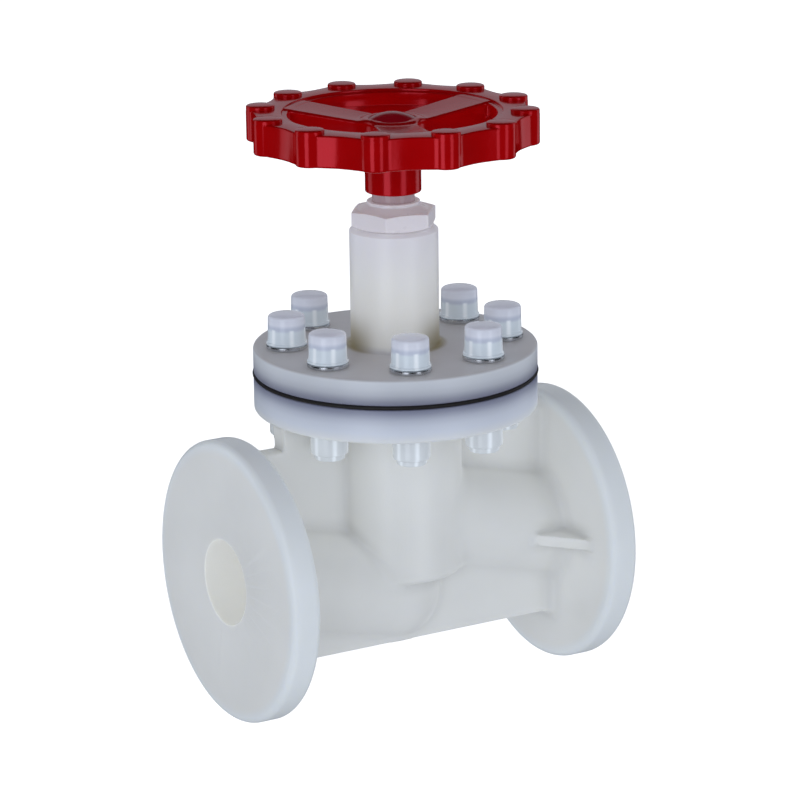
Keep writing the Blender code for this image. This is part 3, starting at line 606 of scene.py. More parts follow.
def coordinate(material, output="Object"):
    """A texture coordinate node, and a node with the X, Y and Z of one of its outputs."""
    place = node(material, "ShaderNodeTexCoord")
    split = node(material, "ShaderNodeSeparateXYZ")
    wire(material, place, output, split, "Vector")
    return place, split


def distance_across(material, place, kept):
    """How far a place is from an axis; kept has a 0 along that axis and a 1 across it."""
    away = node(material, "ShaderNodeVectorMath", operation="LENGTH")
    wire(material, vector_by(material, "MULTIPLY", place, "Object", kept), "Vector", away, 0)
    return away


def overlaid(material, share, under, colour):
    """A colour laid over another by a share; the one under it is a colour or a node."""
    made = node(material, "ShaderNodeMixRGB")
    wire(material, share, 0, made, "Fac")
    if isinstance(under, tuple):
        made.inputs["Color1"].default_value = (*under, 1)
    else:
        wire(material, under, 0, made, "Color1")
    made.inputs["Color2"].default_value = (*colour, 1)
    return made


def dimmed(material, base, level):
    """A colour, or a node's first output, scaled by a node's result."""
    made = node(material, "ShaderNodeVectorMath", operation="SCALE")
    if isinstance(base, tuple):
        made.inputs["Vector"].default_value = base
    else:
        wire(material, base, 0, made, "Vector")
    wire(material, level, "Result", made, "Scale")
    return made


def height_tones(material, stops):
    """A colour that changes with height: (height, colour) stops, read from the object's own Z."""
    low, high = stops[0][0], stops[-1][0]
    split = coordinate(material)[1]
    scaled = ranged(material, split, "Z", low, high)
    ramp = node(material, "ShaderNodeValToRGB")
    fill_ramp(ramp, [((height - low) / (high - low), colour) for height, colour in stops])
    wire(material, scaled, "Result", ramp, "Fac")
    return ramp


def fill_ramp(ramp, stops):
    """A colour ramp's stops, as (position, colour) pairs."""
    elements = ramp.color_ramp.elements
    while len(elements) < len(stops):
        elements.new(1.0)
    for element, (position, colour) in zip(elements, stops):
        element.position = position
        element.color = (*colour, 1)


def painted_crease_shade(material, colour):
    """Painted shade: a colour that deepens where faces meet at an inside corner."""
    near = node(material, "ShaderNodeAmbientOcclusion", samples=8, Distance=CREASE_REACH)
    return dimmed(material, colour, ranged(material, near, "AO", 0.0, 1.0, 1.0 - CREASE_DEPTH))


def mottled(material, base, drift, gloss, bump):
    """Slow drift of a base colour, uneven gloss and a fine surface, all in object space.

    base is a colour, or a node whose first output is one. drift is a noise scale and how much darker the
    colour gets in places, gloss the lowest and highest roughness, and bump a strength and a noise scale.
    """
    shader = shader_of(material)
    place = node(material, "ShaderNodeTexCoord")
    slow = node(material, "ShaderNodeTexNoise", Scale=drift[0], Detail=3.0)
    wire(material, place, "Object", slow, "Vector")
    tinted = dimmed(material, base, ranged(material, slow, "Fac", 0.3, 0.7, 1.0, 1.0 - drift[1]))
    wire(material, tinted, "Vector", shader, "Base Color")
    # the same colour feeds the emission, a painted glow where the material's emission strength is above zero
    wire(material, tinted, "Vector", shader, "Emission Color")
    uneven = node(material, "ShaderNodeTexNoise", Scale=drift[0] * 5, Detail=4.0)
    wire(material, place, "Object", uneven, "Vector")
    wire(material, ranged(material, uneven, "Fac", 0.0, 1.0, *gloss), "Result", shader, "Roughness")
    fine = node(material, "ShaderNodeTexNoise", Scale=bump[1], Detail=5.0)
    wire(material, place, "Object", fine, "Vector")
    bumps = node(material, "ShaderNodeBump", Strength=bump[0], Distance=BUMP_DEPTH)
    wire(material, fine, "Fac", bumps, "Height")
    wire(material, bumps, "Normal", shader, "Normal")
    return material


def milky(name):
    """Natural translucent polymer before its colour is wired in; a faint painted glow stands in for light
    scattered inside it.
    """
    made = principled(name, WARM_WHITE, 0.3, Subsurface_Weight=0.6, Subsurface_Scale=4 * MM,
                      Emission_Strength=GLOW)
    shader_of(made).inputs["Subsurface Radius"].default_value = LIGHT_REACH
    return made


def seal_shade(colour, side):
    """Height stops for a flange with painted shade towards the black gasket; side is -1 below it and 1 above.
    """
    middle = (GASKET_LOW.z + GASKET_HIGH.z) / 2
    stops = []
    for distance, level in SEAL_SHADE:
        shade = tuple(c * level for c in colour[:2]) + (colour[2] * (level + 0.12 * (1 - level)),)
        stops.append((middle + side * distance * MM, shade))
    return stops[::side]


def body_polymer():
    """The body: warm white below, cooler in the top flange with painted shade towards the gasket, painted
    shade in the creases, a painted highlight round the pipe flanges' rims and a painted glow, stronger inside
    the two ports.
    """
    made = milky("body_polymer")
    stops = [(BODY_LOW.z, WARM_WHITE), (TOP_FLANGE_UNDER - 2 * MM, WARM_WHITE)]
    tones = height_tones(made, stops + seal_shade(PALE, -1))
    colour = painted_crease_shade(made, ports_and_rims(made, tones))
    return mottled(made, colour, drift=(18, 0.05), gloss=(0.24, 0.42), bump=(0.2, 900))


def ports_and_rims(material, tones):
    """Painted light inside the two ports, a warmer colour and more glow, and a painted highlight in a cooler
    tone round the pipe flanges' rims.
    """
    place, split = coordinate(material)
    away = distance_across(material, place, (0, 1, 1))
    outward = absolute(material, split, "X")
    inside = ranged(material, away, "Value", PORT_R + 1.2 * MM, PORT_R - 0.2 * MM)
    near_face = ranged(material, outward, "Value", FACE_X - 30 * MM, FACE_X - 24 * MM)
    in_port = multiplied(material, inside, near_face)
    lit_port = overlaid(material, in_port, tones, BORE_PAINTED_LIGHT)
    rim = ranged(material, away, "Value", FLANGE_R - 9 * MM, FLANGE_R - 2 * MM, smooth=True)
    on_flange = ranged(material, outward, "Value", FLANGE_BACK - 4 * MM, FLANGE_BACK)
    strength = node(material, "ShaderNodeMath", operation="MULTIPLY_ADD")
    wire(material, in_port, "Value", strength, 0)
    strength.inputs[1].default_value = BORE_GLOW
    strength.inputs[2].default_value = GLOW
    wire(material, strength, "Value", shader_of(material), "Emission Strength")
    return overlaid(material, multiplied(material, rim, on_flange), lit_port, RIM_HIGHLIGHT)


def bonnet_polymer():
    """The bonnet: a cool grey flange with painted shade towards the gasket, cream at the foot of the neck
    with painted shade on two flanks, warm white above.
    """
    made = milky("bonnet_polymer")
    top = BONNET_FLANGE_TOP
    stops = seal_shade(BONNET_PALE, 1)
    stops += [(top - 0.5 * MM, BONNET_TOP_GREY), (top + 4 * MM, NECK_FOOT), (top + 24 * MM, NECK_LOWER)]
    stops += [(top + 40 * MM, NECK_UPPER), (BONNET_HIGH.z, NECK_TOP)]
    colour = painted_foot_shade(made, height_tones(made, stops))
    return mottled(made, colour, drift=(18, 0.05), gloss=(0.26, 0.44), bump=(0.2, 900))


def painted_foot_shade(material, tones):
    """Painted shade: a brown darkening at two opposite sides of the neck's foot, fading upwards and into the
    flange.
    """
    place, split = coordinate(material)
    sideways = vector_by(material, "DOT_PRODUCT", place, "Object", FOOT_SIDEWAYS)
    flank = absolute(material, sideways, "Value")
    flank = ranged(material, flank, "Value", 9 * MM, NECK_R, smooth=True)
    away = distance_across(material, place, (1, 1, 0))
    within = ranged(material, away, "Value", NECK_R + 6 * MM, NECK_R + 1 * MM, smooth=True)
    top = BONNET_FLANGE_TOP
    fade = ranged(material, split, "Z", top + 24 * MM, top, smooth=True)
    share = multiplied(material, multiplied(material, flank, fade), within)
    return overlaid(material, share, tones, FOOT_SHADE)


def plain_milky(name, colour):
    return mottled(milky(name), colour, drift=(24, 0.05), gloss=(0.22, 0.38), bump=(0.2, 900))


def red_polymer():
    """Glossy red, with painted shade on the faces that look up."""
    made = principled("red_polymer", RED, 0.16, IOR=RED_IOR, Specular_Tint=RED_SHEEN)
    up_shade = ranged(made, coordinate(made, "Normal")[1], "Z", 0.3, 0.9)
    colour = overlaid(made, up_shade, RED, RED_TOP_SHADE)
    return mottled(made, colour, drift=(30, 0.16), gloss=(0.10, 0.20), bump=(0.12, 500))


def clear_polymer():
    """The caps: bright round the hexagons inside them, greyer where they are solid, with painted glints and a
    faint painted glow.
    """
    made = principled("clear_polymer", CAP_BRIGHT, 0.12, Transmission_Weight=0.25, IOR=1.5,
                      Emission_Strength=0.16)
    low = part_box("bolt_cap_1")[0].z
    bottom, under, top = low - 60 * MM, low - 20 * MM, low + 18 * MM
    stops = [(bottom, NUT_CAP_TONE), (under, NUT_CAP_TONE), (low, CAP_BRIGHT), (low + 8 * MM, CAP_BRIGHT)]
    stops += [(low + 9.5 * MM, CAP_BAND), (low + 10.5 * MM, CAP_BAND), (low + 12.5 * MM, CAP_DULL)]
    stops.append((top, CAP_DULL))
    white, black = (1, 1, 1), (0, 0, 0)
    seen = [(bottom, white), (under, white), (low - 1 * MM, black), (low + 1.5 * MM, white)]
    seen += [(low + 9 * MM, white), (low + 10 * MM, black), (top, black)]
    colour = corner_glints(made, height_tones(made, stops), height_tones(made, seen))
    return mottled(made, colour, drift=(60, 0.06), gloss=(0.05, 0.14), bump=(0.12, 700))


def corner_glints(material, tones, where):
    """Painted highlights: bright upright streaks at the six corners of the hexagon inside a clear cap."""
    place = node(material, "ShaderNodeTexCoord")
    centred = vector_by(material, "SUBTRACT", place, "Generated", (0.5, 0.5, 0.5))
    around = node(material, "ShaderNodeTexGradient", gradient_type="RADIAL")
    wire(material, centred, "Vector", around, "Vector")
    sixths = node(material, "ShaderNodeMath", operation="MULTIPLY_ADD")
    sixths.inputs[1].default_value = 6.0
    sixths.inputs[2].default_value = -6.0 * CAP_TURN / math.tau
    wire(material, around, "Fac", sixths, 0)
    swing = node(material, "ShaderNodeMath", operation="PINGPONG")
    swing.inputs[1].default_value = 0.5
    wire(material, sixths, "Value", swing, 0)
    streak = ranged(material, swing, "Value", 0.19, 0.02, smooth=True)
    return overlaid(material, multiplied(material, streak, where), tones, CAP_GLINT)


def zinc_steel():
    made = principled("zinc_steel", ZINC, 0.3, Metallic=1.0)
    return mottled(made, ZINC, drift=(150, 0.18), gloss=(0.16, 0.34), bump=(0.2, 2500))


def black_rubber():
    made = principled("black_rubber", RUBBER, 0.5)
    return mottled(made, RUBBER, drift=(90, 0.4), gloss=(0.45, 0.65), bump=(0.3, 3000))


def dome_polymer():
    made = principled("cap_polymer", DOME_RED, 0.2)
    return mottled(made, DOME_RED, drift=(40, 0.1), gloss=(0.14, 0.24), bump=(0.1, 500))


MATERIALS = {
    "milky_polymer": plain_milky("milky_polymer", WARM_WHITE),
    "stem_polymer": plain_milky("stem_polymer", STEM_COLOUR),
    "clear_polymer": clear_polymer(),
    "zinc_steel": zinc_steel(),
    "black_rubber": black_rubber(),
    "packing_white": plain_milky("packing_white", PACKING_COLOUR),
    "red_polymer": red_polymer(),
}


def dress_cad_nodes():
    """Every CAD node takes the finished material of its slot."""
    slots = {part["node"]: part["material_slot"] for part in frame["record"]["subparts"]}
    for name, cad in NODES.items():
        cad.data.materials.clear()
        cad.data.materials.append(MATERIALS[slots[name]])


# Body skin


def at_side(bm, side):
    """A shape made at the outlet, turned round to the inlet where side is -1."""
    if side < 0:
        bmesh.ops.rotate(bm, verts=bm.verts, cent=(0, 0, 0), matrix=Matrix.Rotation(math.pi, 3, "Z"))
    return bm


def pipe_flange(side):
    """A pipe flange, turned, with both its edges rounded."""
    r = FLANGE_ROUND
    profile = [(0, FACE_X)] + arc((FLANGE_R - r, FACE_X - r), r, 90, 0, 10)
    profile += arc((FLANGE_R - r, FLANGE_BACK + r), r, 0, -90, 10) + [(0, FLANGE_BACK)]
    return at_side(turned(profile, 160, along_x=True), side)


def top_flange():
    """The round flange that the bonnet stands on, with its lower edge rounder than its upper one."""
    low, high, under, over = TOP_FLANGE_UNDER, BODY_HIGH.z, 2.2 * MM, 1.2 * MM
    profile = [(0, low)] + arc((FLANGE_R - under, low + under), under, -90, 0, 5)
    profile += arc((FLANGE_R - over, high - over), over, 0, 90, 4) + [(0, high)]
    return turned(profile, 160)


def port_cutter(side):
    """The start of a port's bore, with a slightly broken mouth."""
    mouth_r, past_face, bottom = PORT_R + PORT_BREAK, FACE_X + 1 * MM, FACE_X - PORT_DEPTH
    profile = [(0, past_face), (mouth_r, past_face), (mouth_r, FACE_X)]
    profile += arc((mouth_r, FACE_X - PORT_BREAK), PORT_BREAK, 90, 180, 4)[1:]
    profile += [(PORT_R, bottom), (0, bottom)]
    return at_side(turned(profile, 96, along_x=True), side)


def build_body():
    """The one-piece body: a filleted skin, three turned flanges and the two ports."""
    step = 1.5 * MM
    low = [c - 2.3 * step for c in BODY_LOW]
    high = [c + 2.3 * step for c in BODY_HIGH]
    base = placed("valve_body_skin", field_mesh("valve_body_skin", blend_body, low, high, step))
    solids = [helper("inlet_flange", pipe_flange(-1)), helper("outlet_flange", pipe_flange(1))]
    solids.append(helper("top_flange", top_flange()))
    join(base, "UNION", solids)
    cutters = [helper("inlet_bore", port_cutter(-1)), helper("outlet_bore", port_cutter(1))]
    cutters.append(helper("chamber_mouth", turned(cylinder(CHAMBER_BORE_R, MOUTH_LOW, MOUTH_HIGH), 96)))
    cutters += bolt_hole_cutters(TOP_FLANGE_UNDER - 6 * MM, BODY_HIGH.z + 1 * MM)
    join(base, "DIFFERENCE", cutters)
    finish_piece("valve_body_skin", base, "valve", body_polymer(), ["valve_body"])


# Bonnet, gasket and gland nut


def build_bonnet():
    """The bonnet: flange with rounded edges, spigot, and the tall neck flaring into the flange."""
    low, high, edge, foot = BONNET_FLANGE_LOW, BONNET_FLANGE_TOP, 1.8 * MM, 3 * MM
    neck_top = BONNET_HIGH.z
    profile = [(STEM_ROOM_R, SPIGOT_LOW), (SPIGOT_R, SPIGOT_LOW), (SPIGOT_R, low)]
    profile += arc((FLANGE_R - 1.2 * MM, low + 1.2 * MM), 1.2 * MM, -90, 0, 4)
    profile += arc((FLANGE_R - edge, high - edge), edge, 0, 90, 6)
    profile += arc((NECK_R + foot, high + foot), foot, -90, -180, 6)
    profile += arc((NECK_R - 0.6 * MM, neck_top - 2.2 * MM), 0.6 * MM, 0, 45, 3)
    profile += arc((NECK_R - 2.3 * MM, neck_top - 0.4 * MM), 0.4 * MM, 45, 90, 2)
    profile += [(PACKING_BOX_R, neck_top), (PACKING_BOX_R, GUIDE_TOP), (GUIDE_R, GUIDE_TOP)]
    profile += [(GUIDE_R, STEM_ROOM_TOP), (STEM_ROOM_R, STEM_ROOM_TOP)]
    base = helper("bonnet_shell", turned(profile, 160))
    join(base, "DIFFERENCE", bolt_hole_cutters(low - 1 * MM, high + 1 * MM))
    finish_piece("bonnet_shell", base, "valve", bonnet_polymer(), ["bonnet"], 30)


def build_gasket():
    """The rubber sheet gasket with a soft, slightly uneven edge standing proud of the flanges."""
    low, high = GASKET_LOW.z, GASKET_HIGH.z
    middle, half = (low + high) / 2, (high - low) / 2
    outer, bead, uneven, soft = GASKET_HIGH.x - 0.25 * MM, 1.15 * MM, 0.2 * MM, 1.2 * MM
    inner, flat = CHAMBER_BORE_R + 0.3 * MM, outer - 2.2 * MM
    rings = []
    count = 180
    angles = [math.tau * i / count for i in range(count)]
    section = [(inner, -half), (flat, -half)]
    section += [(outer - bead + r, z) for r, z in arc((0, 0), bead, -120, 120, 10)]
    section += [(flat, half), (inner, half)]
    for r, z in section:
        share = max(0.0, (r - outer + soft) / soft)
        reach = [r + uneven * share * math.sin(3 * a + 0.7) * math.cos(7 * a) for a in angles]
        rings.append([(d * math.cos(a), d * math.sin(a), middle + z) for d, a in zip(reach, angles)])
    base = helper("gasket_sheet", loft(rings))
    join(base, "DIFFERENCE", bolt_hole_cutters(low - 1 * MM, high + 1 * MM))
    finish_piece("gasket_sheet", base, "valve", MATERIALS["black_rubber"], ["body_gasket"])


def build_gland_nut():
    """The gland nut: a hexagon with turned chamfers, a round boss above and the threaded tail below."""
    low, high, r = GLAND_HEX_LOW, GLAND_HEX_HIGH, GLAND_HEX_R
    flat = r * math.cos(math.radians(30))
    base = helper("gland_nut_shell", hexagon(r, low, high, GLAND_HEX_TURN))
    envelope = [(0, low), (flat - 1.2 * MM, low), (r + 0.4 * MM, low + 2.0 * MM)]
    envelope += [(r + 0.4 * MM, high - 1.0 * MM), (flat - 0.4 * MM, high), (0, high)]
    join(base, "INTERSECT", [helper("gland_envelope", turned(envelope, 120))])
    tail, top, tail_r = GLAND_LOW.z, GLAND_HIGH.z, PACKING_BOX_R - 0.3 * MM
    boss = [(0, tail), (tail_r, tail), (tail_r, low + 1 * MM)]
    boss += [(flat - 1.4 * MM, low + 1 * MM), (flat - 1.4 * MM, high), (flat - 2 * MM, high + 0.3 * MM)]
    boss += [(GLAND_BOSS_R + 0.5 * MM, GLAND_CONE_TOP), (GLAND_BOSS_R, GLAND_CONE_TOP + 0.3 * MM)]
    boss += arc((GLAND_BOSS_R - 0.5 * MM, top - 0.5 * MM), 0.5 * MM, 0, 90, 4) + [(0, top)]
    join(base, "UNION", [helper("gland_boss", turned(boss, 120))])
    bore = [(0, tail - 1 * MM), (STEM_BORE_R, tail - 1 * MM), (STEM_BORE_R, top - 0.4 * MM)]
    bore += [(STEM_BORE_R + 0.9 * MM, top + 0.5 * MM), (0, top + 0.5 * MM)]
    join(base, "DIFFERENCE", [helper("gland_bore", turned(bore, 96))])
    material = plain_milky("gland_polymer", GLAND_COLOUR)
    finish_piece("gland_nut_shell", base, "valve", material, ["gland_nut"], 20)


# Bolting


def build_bolting():
    """Caps over the bolt heads, washers under them and stepped caps over the nuts below."""
    for number, x, y in bolt_places():
        turn = Matrix.Translation((x, y, 0))
        washer_low, washer_high = (corner.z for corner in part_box(f"bolt_washer_{number}"))
        cap_low, cap_high = (corner.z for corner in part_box(f"bolt_cap_{number}"))
        end_low, end_high = (corner.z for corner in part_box(f"nut_cap_{number}"))
        pieces = (
            ("head_washer", "bolt_washer", "zinc_steel", washer_profile(washer_low, washer_high)),
            ("nut_end_cap", "nut_cap", "clear_polymer", nut_cap_profile(end_low, end_high)),
        )
        for name, node_name, slot, profile in pieces:
            mesh = mesh_from(f"{name}_{number}", turned(profile, 48), 40)
            mesh.transform(turn)
            link(f"{name}_{number}", mesh, "valve", MATERIALS[slot], [f"{node_name}_{number}"])
        cap = helper(f"head_cap_{number}", turned(head_cap_profile(cap_low, cap_high), 72))
        recess = hexagon(CAP_RECESS_R, cap_low - 1 * MM, cap_low + CAP_RECESS_H)
        join(cap, "DIFFERENCE", [helper("recess", recess)])
        cap.data.transform(turn)
        finish_piece(f"head_cap_{number}", cap, "valve", MATERIALS["clear_polymer"],
                 [f"bolt_cap_{number}"], 20)


def washer_profile(low, high):
    """A flat washer with its outer edges rounded."""
    edge = 0.4 * MM
    outer, inner = 12 * MM, 5.3 * MM
    profile = [(inner, low)] + arc((outer - edge, low + edge), edge, -90, 0, 4)
    return profile + arc((outer - edge, high - edge), edge, 0, 90, 4) + [(inner, high)]


def head_cap_profile(low, high):
    """The outside of a head cap: rounded top edge, straight side and a small lip round the foot."""
    r, top_r, lip_r, edge = 11.1 * MM, 10.7 * MM, 11.8 * MM, 1.7 * MM
    sphere, rise, taper = 50 * MM, 0.7 * MM, 14 * MM
    profile = [(0, low), (lip_r, low), (lip_r, low + 0.9 * MM), (r, low + 1.4 * MM)]
    for height in (3.5 * MM, 6.0 * MM, 8.5 * MM, 10.4 * MM, 11.2 * MM):
        profile.append((r + (top_r - r) * height / taper, low + height))
    profile += arc((top_r - edge, high - edge - rise), edge, 0, 75, 8)
    crown = top_r - edge + edge * math.cos(math.radians(75))
    crown_z = profile[-1][1]
    for i in range(1, 5):
        d = crown * (1 - i / 4)
        profile.append((d, crown_z + (crown**2 - d**2) / sphere * 0.6))
    return profile


def nut_cap_profile(low, high):
    """A stepped cap, closed at its narrow lower end."""
    r, wall, end_r, edge, shoulder = 10.8 * MM, 0.9 * MM, 8.8 * MM, 0.8 * MM, 1.4 * MM
    inner_end, floor = end_r - wall, low + 0.5 * MM
    step = high - 13.5 * MM
    profile = [(0, low)] + arc((end_r - edge, low + edge), edge, -90, 0, 4) + [(end_r, step - 0.2 * MM)]
    profile += arc((r - shoulder, step + shoulder), shoulder, -90, 0, 5) + [(r, high), (r - wall, high)]
    return profile + [(r - wall, step + wall), (inner_end, step + wall), (inner_end, floor), (0, floor)]


# Handwheel


def wheel_outline():
    """The scalloped outline: twelve round lobes with shallow hollows between them."""
    lobe_steps, valley_steps = 14, 12
    lobe = [LOBE_SPAN * (2 * i / lobe_steps - 1) for i in range(lobe_steps + 1)]
    points = [(KNOB_CIRCLE_R + LOBE_R * math.cos(b), LOBE_R * math.sin(b)) for b in lobe]
    x, y = points[-1]
    start_r, start_a = math.hypot(x, y), math.atan2(y, x)
    end_a = math.tau / KNOB_COUNT - start_a
    for i in range(1, valley_steps):
        share = i / valley_steps
        r = start_r + (VALLEY_R - start_r) * math.sin(math.pi * share)
        a = start_a + (end_a - start_a) * share
        points.append((r * math.cos(a), r * math.sin(a)))
    outline = []
    for i in range(KNOB_COUNT):
        a = KNOB_FIRST_ANGLE + math.tau * i / KNOB_COUNT
        outline += [(x * math.cos(a) - y * math.sin(a), x * math.sin(a) + y * math.cos(a)) for x, y in points]
    return outline


def inset(outline, distance, z):
    """A closed outline moved inwards by a distance, at a height."""
    ring = []
    for i, (x, y) in enumerate(outline):
        before, after = outline[i - 1], outline[(i + 1) % len(outline)]
        dx, dy = after[0] - before[0], after[1] - before[1]
        size = math.hypot(dx, dy)
        ring.append((x - dy / size * distance, y + dx / size * distance, z))
    return ring


def round_ring(outline, radius, z):
    """A circle with a point at the angle of each point of the outline."""
    angles = [math.atan2(y, x) for x, y in outline]
    return [(radius * math.cos(a), radius * math.sin(a), z) for a in angles]


def wheel_rim():
    """The rim as one closed band: scalloped outside, stepped inside, grooved underneath."""
    outline = wheel_outline()
    low, high, step, inner = WHEEL_RIM_LOW, WHEEL_RIM_HIGH, WHEEL_LEDGE_R, WHEEL_INNER_R
    turn = [(1 - c, 1 - s) for c, s in arc((0, 0), 1.0, 0, 90, 4)]
    back = turn[::-1]
    rings = [inset(outline, RIM_EDGE * c, low + RIM_EDGE * s) for c, s in back]
    rings += [inset(outline, RIM_EDGE * c, high - RIM_EDGE * s) for c, s in turn]
    small = LEDGE_EDGE
    rings += [round_ring(outline, step + small * c, high - small * s) for c, s in back]
    rings += [round_ring(outline, step - small * c, WHEEL_LEDGE + small * s) for c, s in turn]
    rings += [round_ring(outline, inner + small * c, WHEEL_LEDGE - small * s) for c, s in back]
    rings += [round_ring(outline, inner + small * c, WHEEL_INNER_LOW + small * s) for c, s in turn]
    groove = ((WHEEL_HOLLOW_R - 0.5 * MM, WHEEL_INNER_LOW), (WHEEL_HOLLOW_R, GROOVE_TOP),
              (GROOVE_R, GROOVE_TOP), (GROOVE_MOUTH_R, low))
    return loft(rings + [round_ring(outline, radius, z) for radius, z in groove])


def spider_field(x, y, z):
    """Hub collar, spokes, and the fillets where they meet each other and the rim, less the cap's seat."""
    radial = np.sqrt(x * x + y * y)
    spider = upright_disc(radial, z, HUB_COLLAR_R, WHEEL_RIM_LOW, HUB_TOP, 1.0 * MM)
    high = SPOKE_TOP + SPOKE_RISE * (radial - SPOKE_LEVEL_R)
    spoke_z = np.maximum(z - high, SPOKE_LOW - z)
    for i in range(SPOKE_COUNT):
        a = SPOKE_FIRST_ANGLE + math.tau * i / SPOKE_COUNT
        along = x * math.cos(a) + y * math.sin(a)
        across = y * math.cos(a) - x * math.sin(a)
        share = np.clip(along / SPOKE_REACH, 0, 1)
        half = SPOKE_HALF_NEAR + (SPOKE_HALF_FAR - SPOKE_HALF_NEAR) * share
        past_end = np.maximum(along - SPOKE_REACH, -along)
        bar = round_box(past_end, np.abs(across) - half, spoke_z, SPOKE_EDGE)
        spider = smooth_min(spider, bar, SPOKE_FILLET)
    band_r = np.maximum(radial - SPOKE_REACH, WHEEL_INNER_R + 0.6 * MM - radial)
    band = np.maximum(band_r, np.maximum(z - WHEEL_LEDGE + 1.5 * MM, WHEEL_INNER_LOW + 1 * MM - z))
    spider = smooth_min(spider, band, BAND_FILLET)
    return np.maximum(spider, -np.maximum(radial - CAP_SEAT_R, CAP_SEAT_LOW - z))


def build_handwheel():
    """The one-piece handwheel: rim, spokes, hub and twelve round pads."""
    base = helper("handwheel_shell", wheel_rim())
    step = 0.8 * MM
    reach = WHEEL_INNER_R + 6 * MM
    low, high = (-reach, -reach, WHEEL_RIM_LOW - 2 * step), (reach, reach, WHEEL_RIM_HIGH + 2 * step)
    spider = placed("spider", field_mesh("spider", spider_field, low, high, step))
    parts = [spider, helper("hub", turned(hub_profile(), 96))]
    for i in range(KNOB_COUNT):
        a = KNOB_FIRST_ANGLE + math.tau * i / KNOB_COUNT
        place = (KNOB_CIRCLE_R * math.cos(a), KNOB_CIRCLE_R * math.sin(a), 0)
        bm = turned(knob_profile(), 48)
        bmesh.ops.translate(bm, verts=bm.verts, vec=place)
        parts.append(helper(f"pad_{i + 1}", bm))
    join(base, "UNION", parts)
    under = WHEEL_LOW.z - 1 * MM
    bore = [(0, under), (STEM_SOCKET_R, under), (STEM_SOCKET_R, STEM_SOCKET_TOP)]
    bore += [(STEM_END_R, STEM_SOCKET_TOP), (STEM_END_R, CAP_SEAT_LOW), (CAP_SEAT_R, CAP_SEAT_LOW)]
    bore += [(CAP_SEAT_R, CAP_SEAT_HIGH), (0, CAP_SEAT_HIGH)]
    join(base, "DIFFERENCE", [helper("stem_seat", turned(bore, 96))])
    red = MATERIALS["red_polymer"]
    finish_piece("handwheel_shell", base, "spindle", red, ["handwheel"], 38)


def knob_profile():
    """A round pad with a rounded edge and a slightly raised middle."""
    low, high, r, edge = WHEEL_RIM_HIGH - 2 * MM, WHEEL_HIGH.z, KNOB_R, 0.9 * MM
    profile = [(0, low), (r, low)] + arc((r - edge, high - edge - 0.3 * MM), edge, 0, 75, 6)
    return profile + [(r * 0.5, high), (0, high)]


def hub_profile():
    """The hub below the spokes, with its lower edge rounded."""
    low, r, edge = WHEEL_LOW.z, HUB_R, 0.8 * MM
    profile = [(0, low)] + arc((r - edge, low + edge), edge, -90, 0, 5)
    return profile + [(r, HUB_SKIRT_TOP), (0, HUB_SKIRT_TOP)]


def build_wheel_cap():
    """The push-in dome over the wheel nut."""
    lip, bottom = HUB_TOP + 0.3 * MM, CAP_LOW.z
    rise = CAP_HIGH.z - lip
    sphere = (DOME_R * DOME_R + rise * rise) / (2 * rise)
    half_angle = math.degrees(math.asin(DOME_R / sphere))
    profile = [(0, lip - 0.8 * MM), (DOME_BORE_R, lip - 1.8 * MM), (DOME_BORE_R, bottom)]
    profile += [(DOME_SKIRT_R, bottom), (DOME_SKIRT_R, lip)]
    profile += arc((0, CAP_HIGH.z - sphere), sphere, 90 - half_angle, 90, 16)
    mesh = mesh_from("wheel_cap_dome", turned(profile, 96), 30)
    link("wheel_cap_dome", mesh, "spindle", dome_polymer(), ["wheel_cap"])


# Stage


# The surround's brightness at heights from straight down, -1, to straight up, 1
SKY = ((-1.0, 0.54), (-0.2, 0.60), (0.0, 0.68), (0.30, 0.70), (0.62, 0.32), (1.0, 0.15))
LIGHT_TINT = (0.90, 0.95, 1.05)
FLOOR_SIZE = 40
FLOOR_GAP = 0.2 * MM
FLOOR_GLOW = 0.78
SOFTBOXES = (
    # name, degrees from the camera, height, distance, size, radiance
    ("key", -25, 0.3, 1.9, (0.9, 2.6), 1.5),
    ("fill", 44, 0.3, 1.9, (0.7, 2.6), 1.1),
    ("left", -110, 0.4, 1.9, (0.8, 2.0), 0.5),
    ("right", 120, 0.4, 1.9, (0.8, 2.0), 0.6),
    ("back", 180, 0.7, 2.2, (2.6, 1.2), 0.42),
)
CAMERA_AZIMUTH = -30.269
CAMERA_ELEVATION = 15.945
CAMERA_ROLL = -0.724
CAMERA_DISTANCE = 2.211
CAMERA_ASIDE = 0.002367
CAMERA_RAISED = 0.087636
CAMERA_LENS = 168.94


def build_stage():
    """A pale floor that takes only the valve's faint shadow, and a soft surround brightest at eye level."""
    mesh = bpy.data.meshes.new("floor")
    bm = bmesh.new()
    bmesh.ops.create_grid(bm, x_segments=1, y_segments=1, size=FLOOR_SIZE)
    bm.to_mesh(mesh)
    bm.free()
    floor = placed("floor", mesh)
    floor.location.z = CAD_BOUNDS[0][2] - FLOOR_GAP
    pale = principled("floor", (0.9, 0.9, 0.9), 0.9, Specular_IOR_Level=0.0, Emission_Strength=FLOOR_GLOW)
    shader_of(pale).inputs["Emission Color"].default_value = (1, 1, 1, 1)
    mesh.materials.append(pale)
    floor.visible_diffuse = False
    floor.visible_glossy = False
    floor.visible_transmission = False
    floor.visible_shadow = False
    build_world()


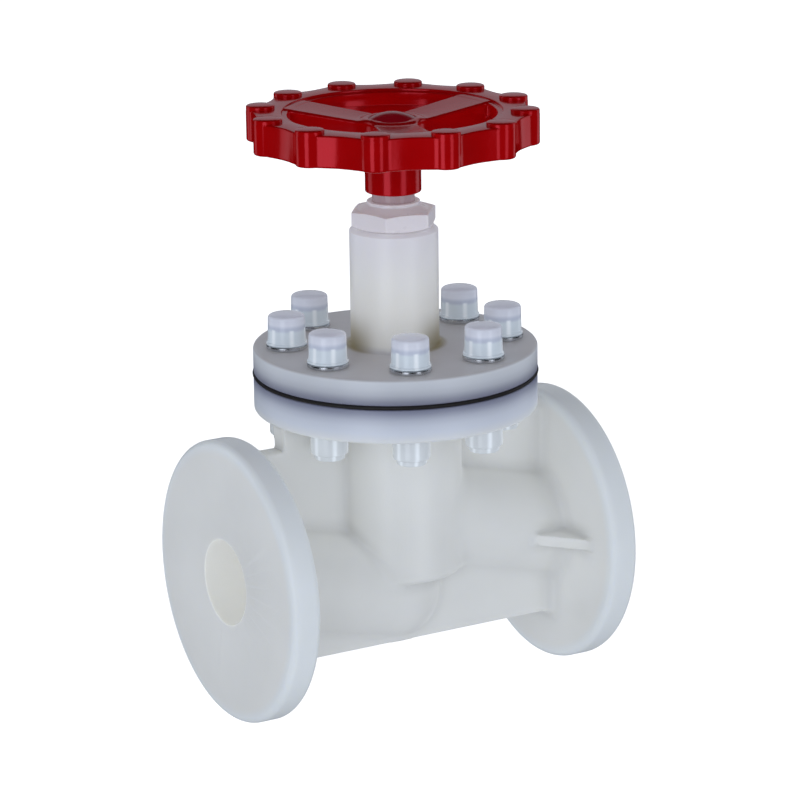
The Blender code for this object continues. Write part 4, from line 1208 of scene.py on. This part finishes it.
def build_world():
    """A surround that lights the valve by height and doesn't show in its gloss."""
    world = bpy.data.worlds.new("studio")
    bpy.context.scene.world = world
    world.use_nodes = True
    tree = world.node_tree
    place = tree.nodes.new("ShaderNodeTexCoord")
    split = tree.nodes.new("ShaderNodeSeparateXYZ")
    scaled = tree.nodes.new("ShaderNodeMapRange")
    scaled.inputs["From Min"].default_value = -1.0
    ramp = tree.nodes.new("ShaderNodeValToRGB")
    fill_ramp(ramp, [((height + 1) / 2, tuple(level * c for c in LIGHT_TINT)) for height, level in SKY])
    tree.links.new(place.outputs["Generated"], split.inputs["Vector"])
    tree.links.new(split.outputs["Z"], scaled.inputs["Value"])
    tree.links.new(scaled.outputs["Result"], ramp.inputs["Fac"])
    tree.links.new(ramp.outputs["Color"], tree.nodes["Background"].inputs["Color"])
    world.cycles_visibility.glossy = False


def softbox(name, azimuth, height, distance, size, radiance):
    """A rectangular light that faces the valve, at an azimuth in degrees from the camera's."""
    angle = math.radians(CAMERA_AZIMUTH + azimuth)
    lamp = bpy.data.lights.new(name, "AREA")
    lamp.shape = "RECTANGLE"
    lamp.size, lamp.size_y = size
    lamp.energy = radiance * math.pi * size[0] * size[1]
    lamp.color = LIGHT_TINT
    made = placed(name, lamp)
    made.location = (distance * math.sin(angle), -distance * math.cos(angle), height)
    aim = Vector((0, 0, height * 0.5 + 0.05))
    made.rotation_euler = (aim - made.location).to_track_quat("-Z", "Y").to_euler()
    made.visible_camera = False


def build_camera():
    """The camera at the view's azimuth, elevation, roll and distance from a point on the valve."""
    azimuth, elevation, roll = (math.radians(v) for v in (CAMERA_AZIMUTH, CAMERA_ELEVATION, CAMERA_ROLL))
    right = Vector((math.cos(azimuth), math.sin(azimuth), 0))
    level = math.cos(elevation)
    back = Vector((math.sin(azimuth) * level, -math.cos(azimuth) * level, math.sin(elevation)))
    up = back.cross(right)
    place = back * CAMERA_DISTANCE + right * CAMERA_ASIDE + up * CAMERA_RAISED
    rolled_right = right * math.cos(roll) + up * math.sin(roll)
    rolled_up = up * math.cos(roll) - right * math.sin(roll)
    lens = bpy.data.cameras.new("camera")
    lens.lens = CAMERA_LENS
    lens.sensor_width = 36.0
    lens.clip_start = 0.1
    camera = placed("camera", lens)
    turn = Matrix((rolled_right, rolled_up, back)).transposed()
    camera.matrix_world = Matrix.Translation(place) @ turn.to_4x4()
    bpy.context.scene.camera = camera


def main():
    bpy.context.scene.view_settings.view_transform = "Standard"
    build_camera()
    build_stage()
    for box in SOFTBOXES:
        softbox(*box)
    dress_cad_nodes()
    build_body()
    build_bonnet()
    build_gasket()
    build_gland_nut()
    build_bolting()
    build_handwheel()
    build_wheel_cap()


main()
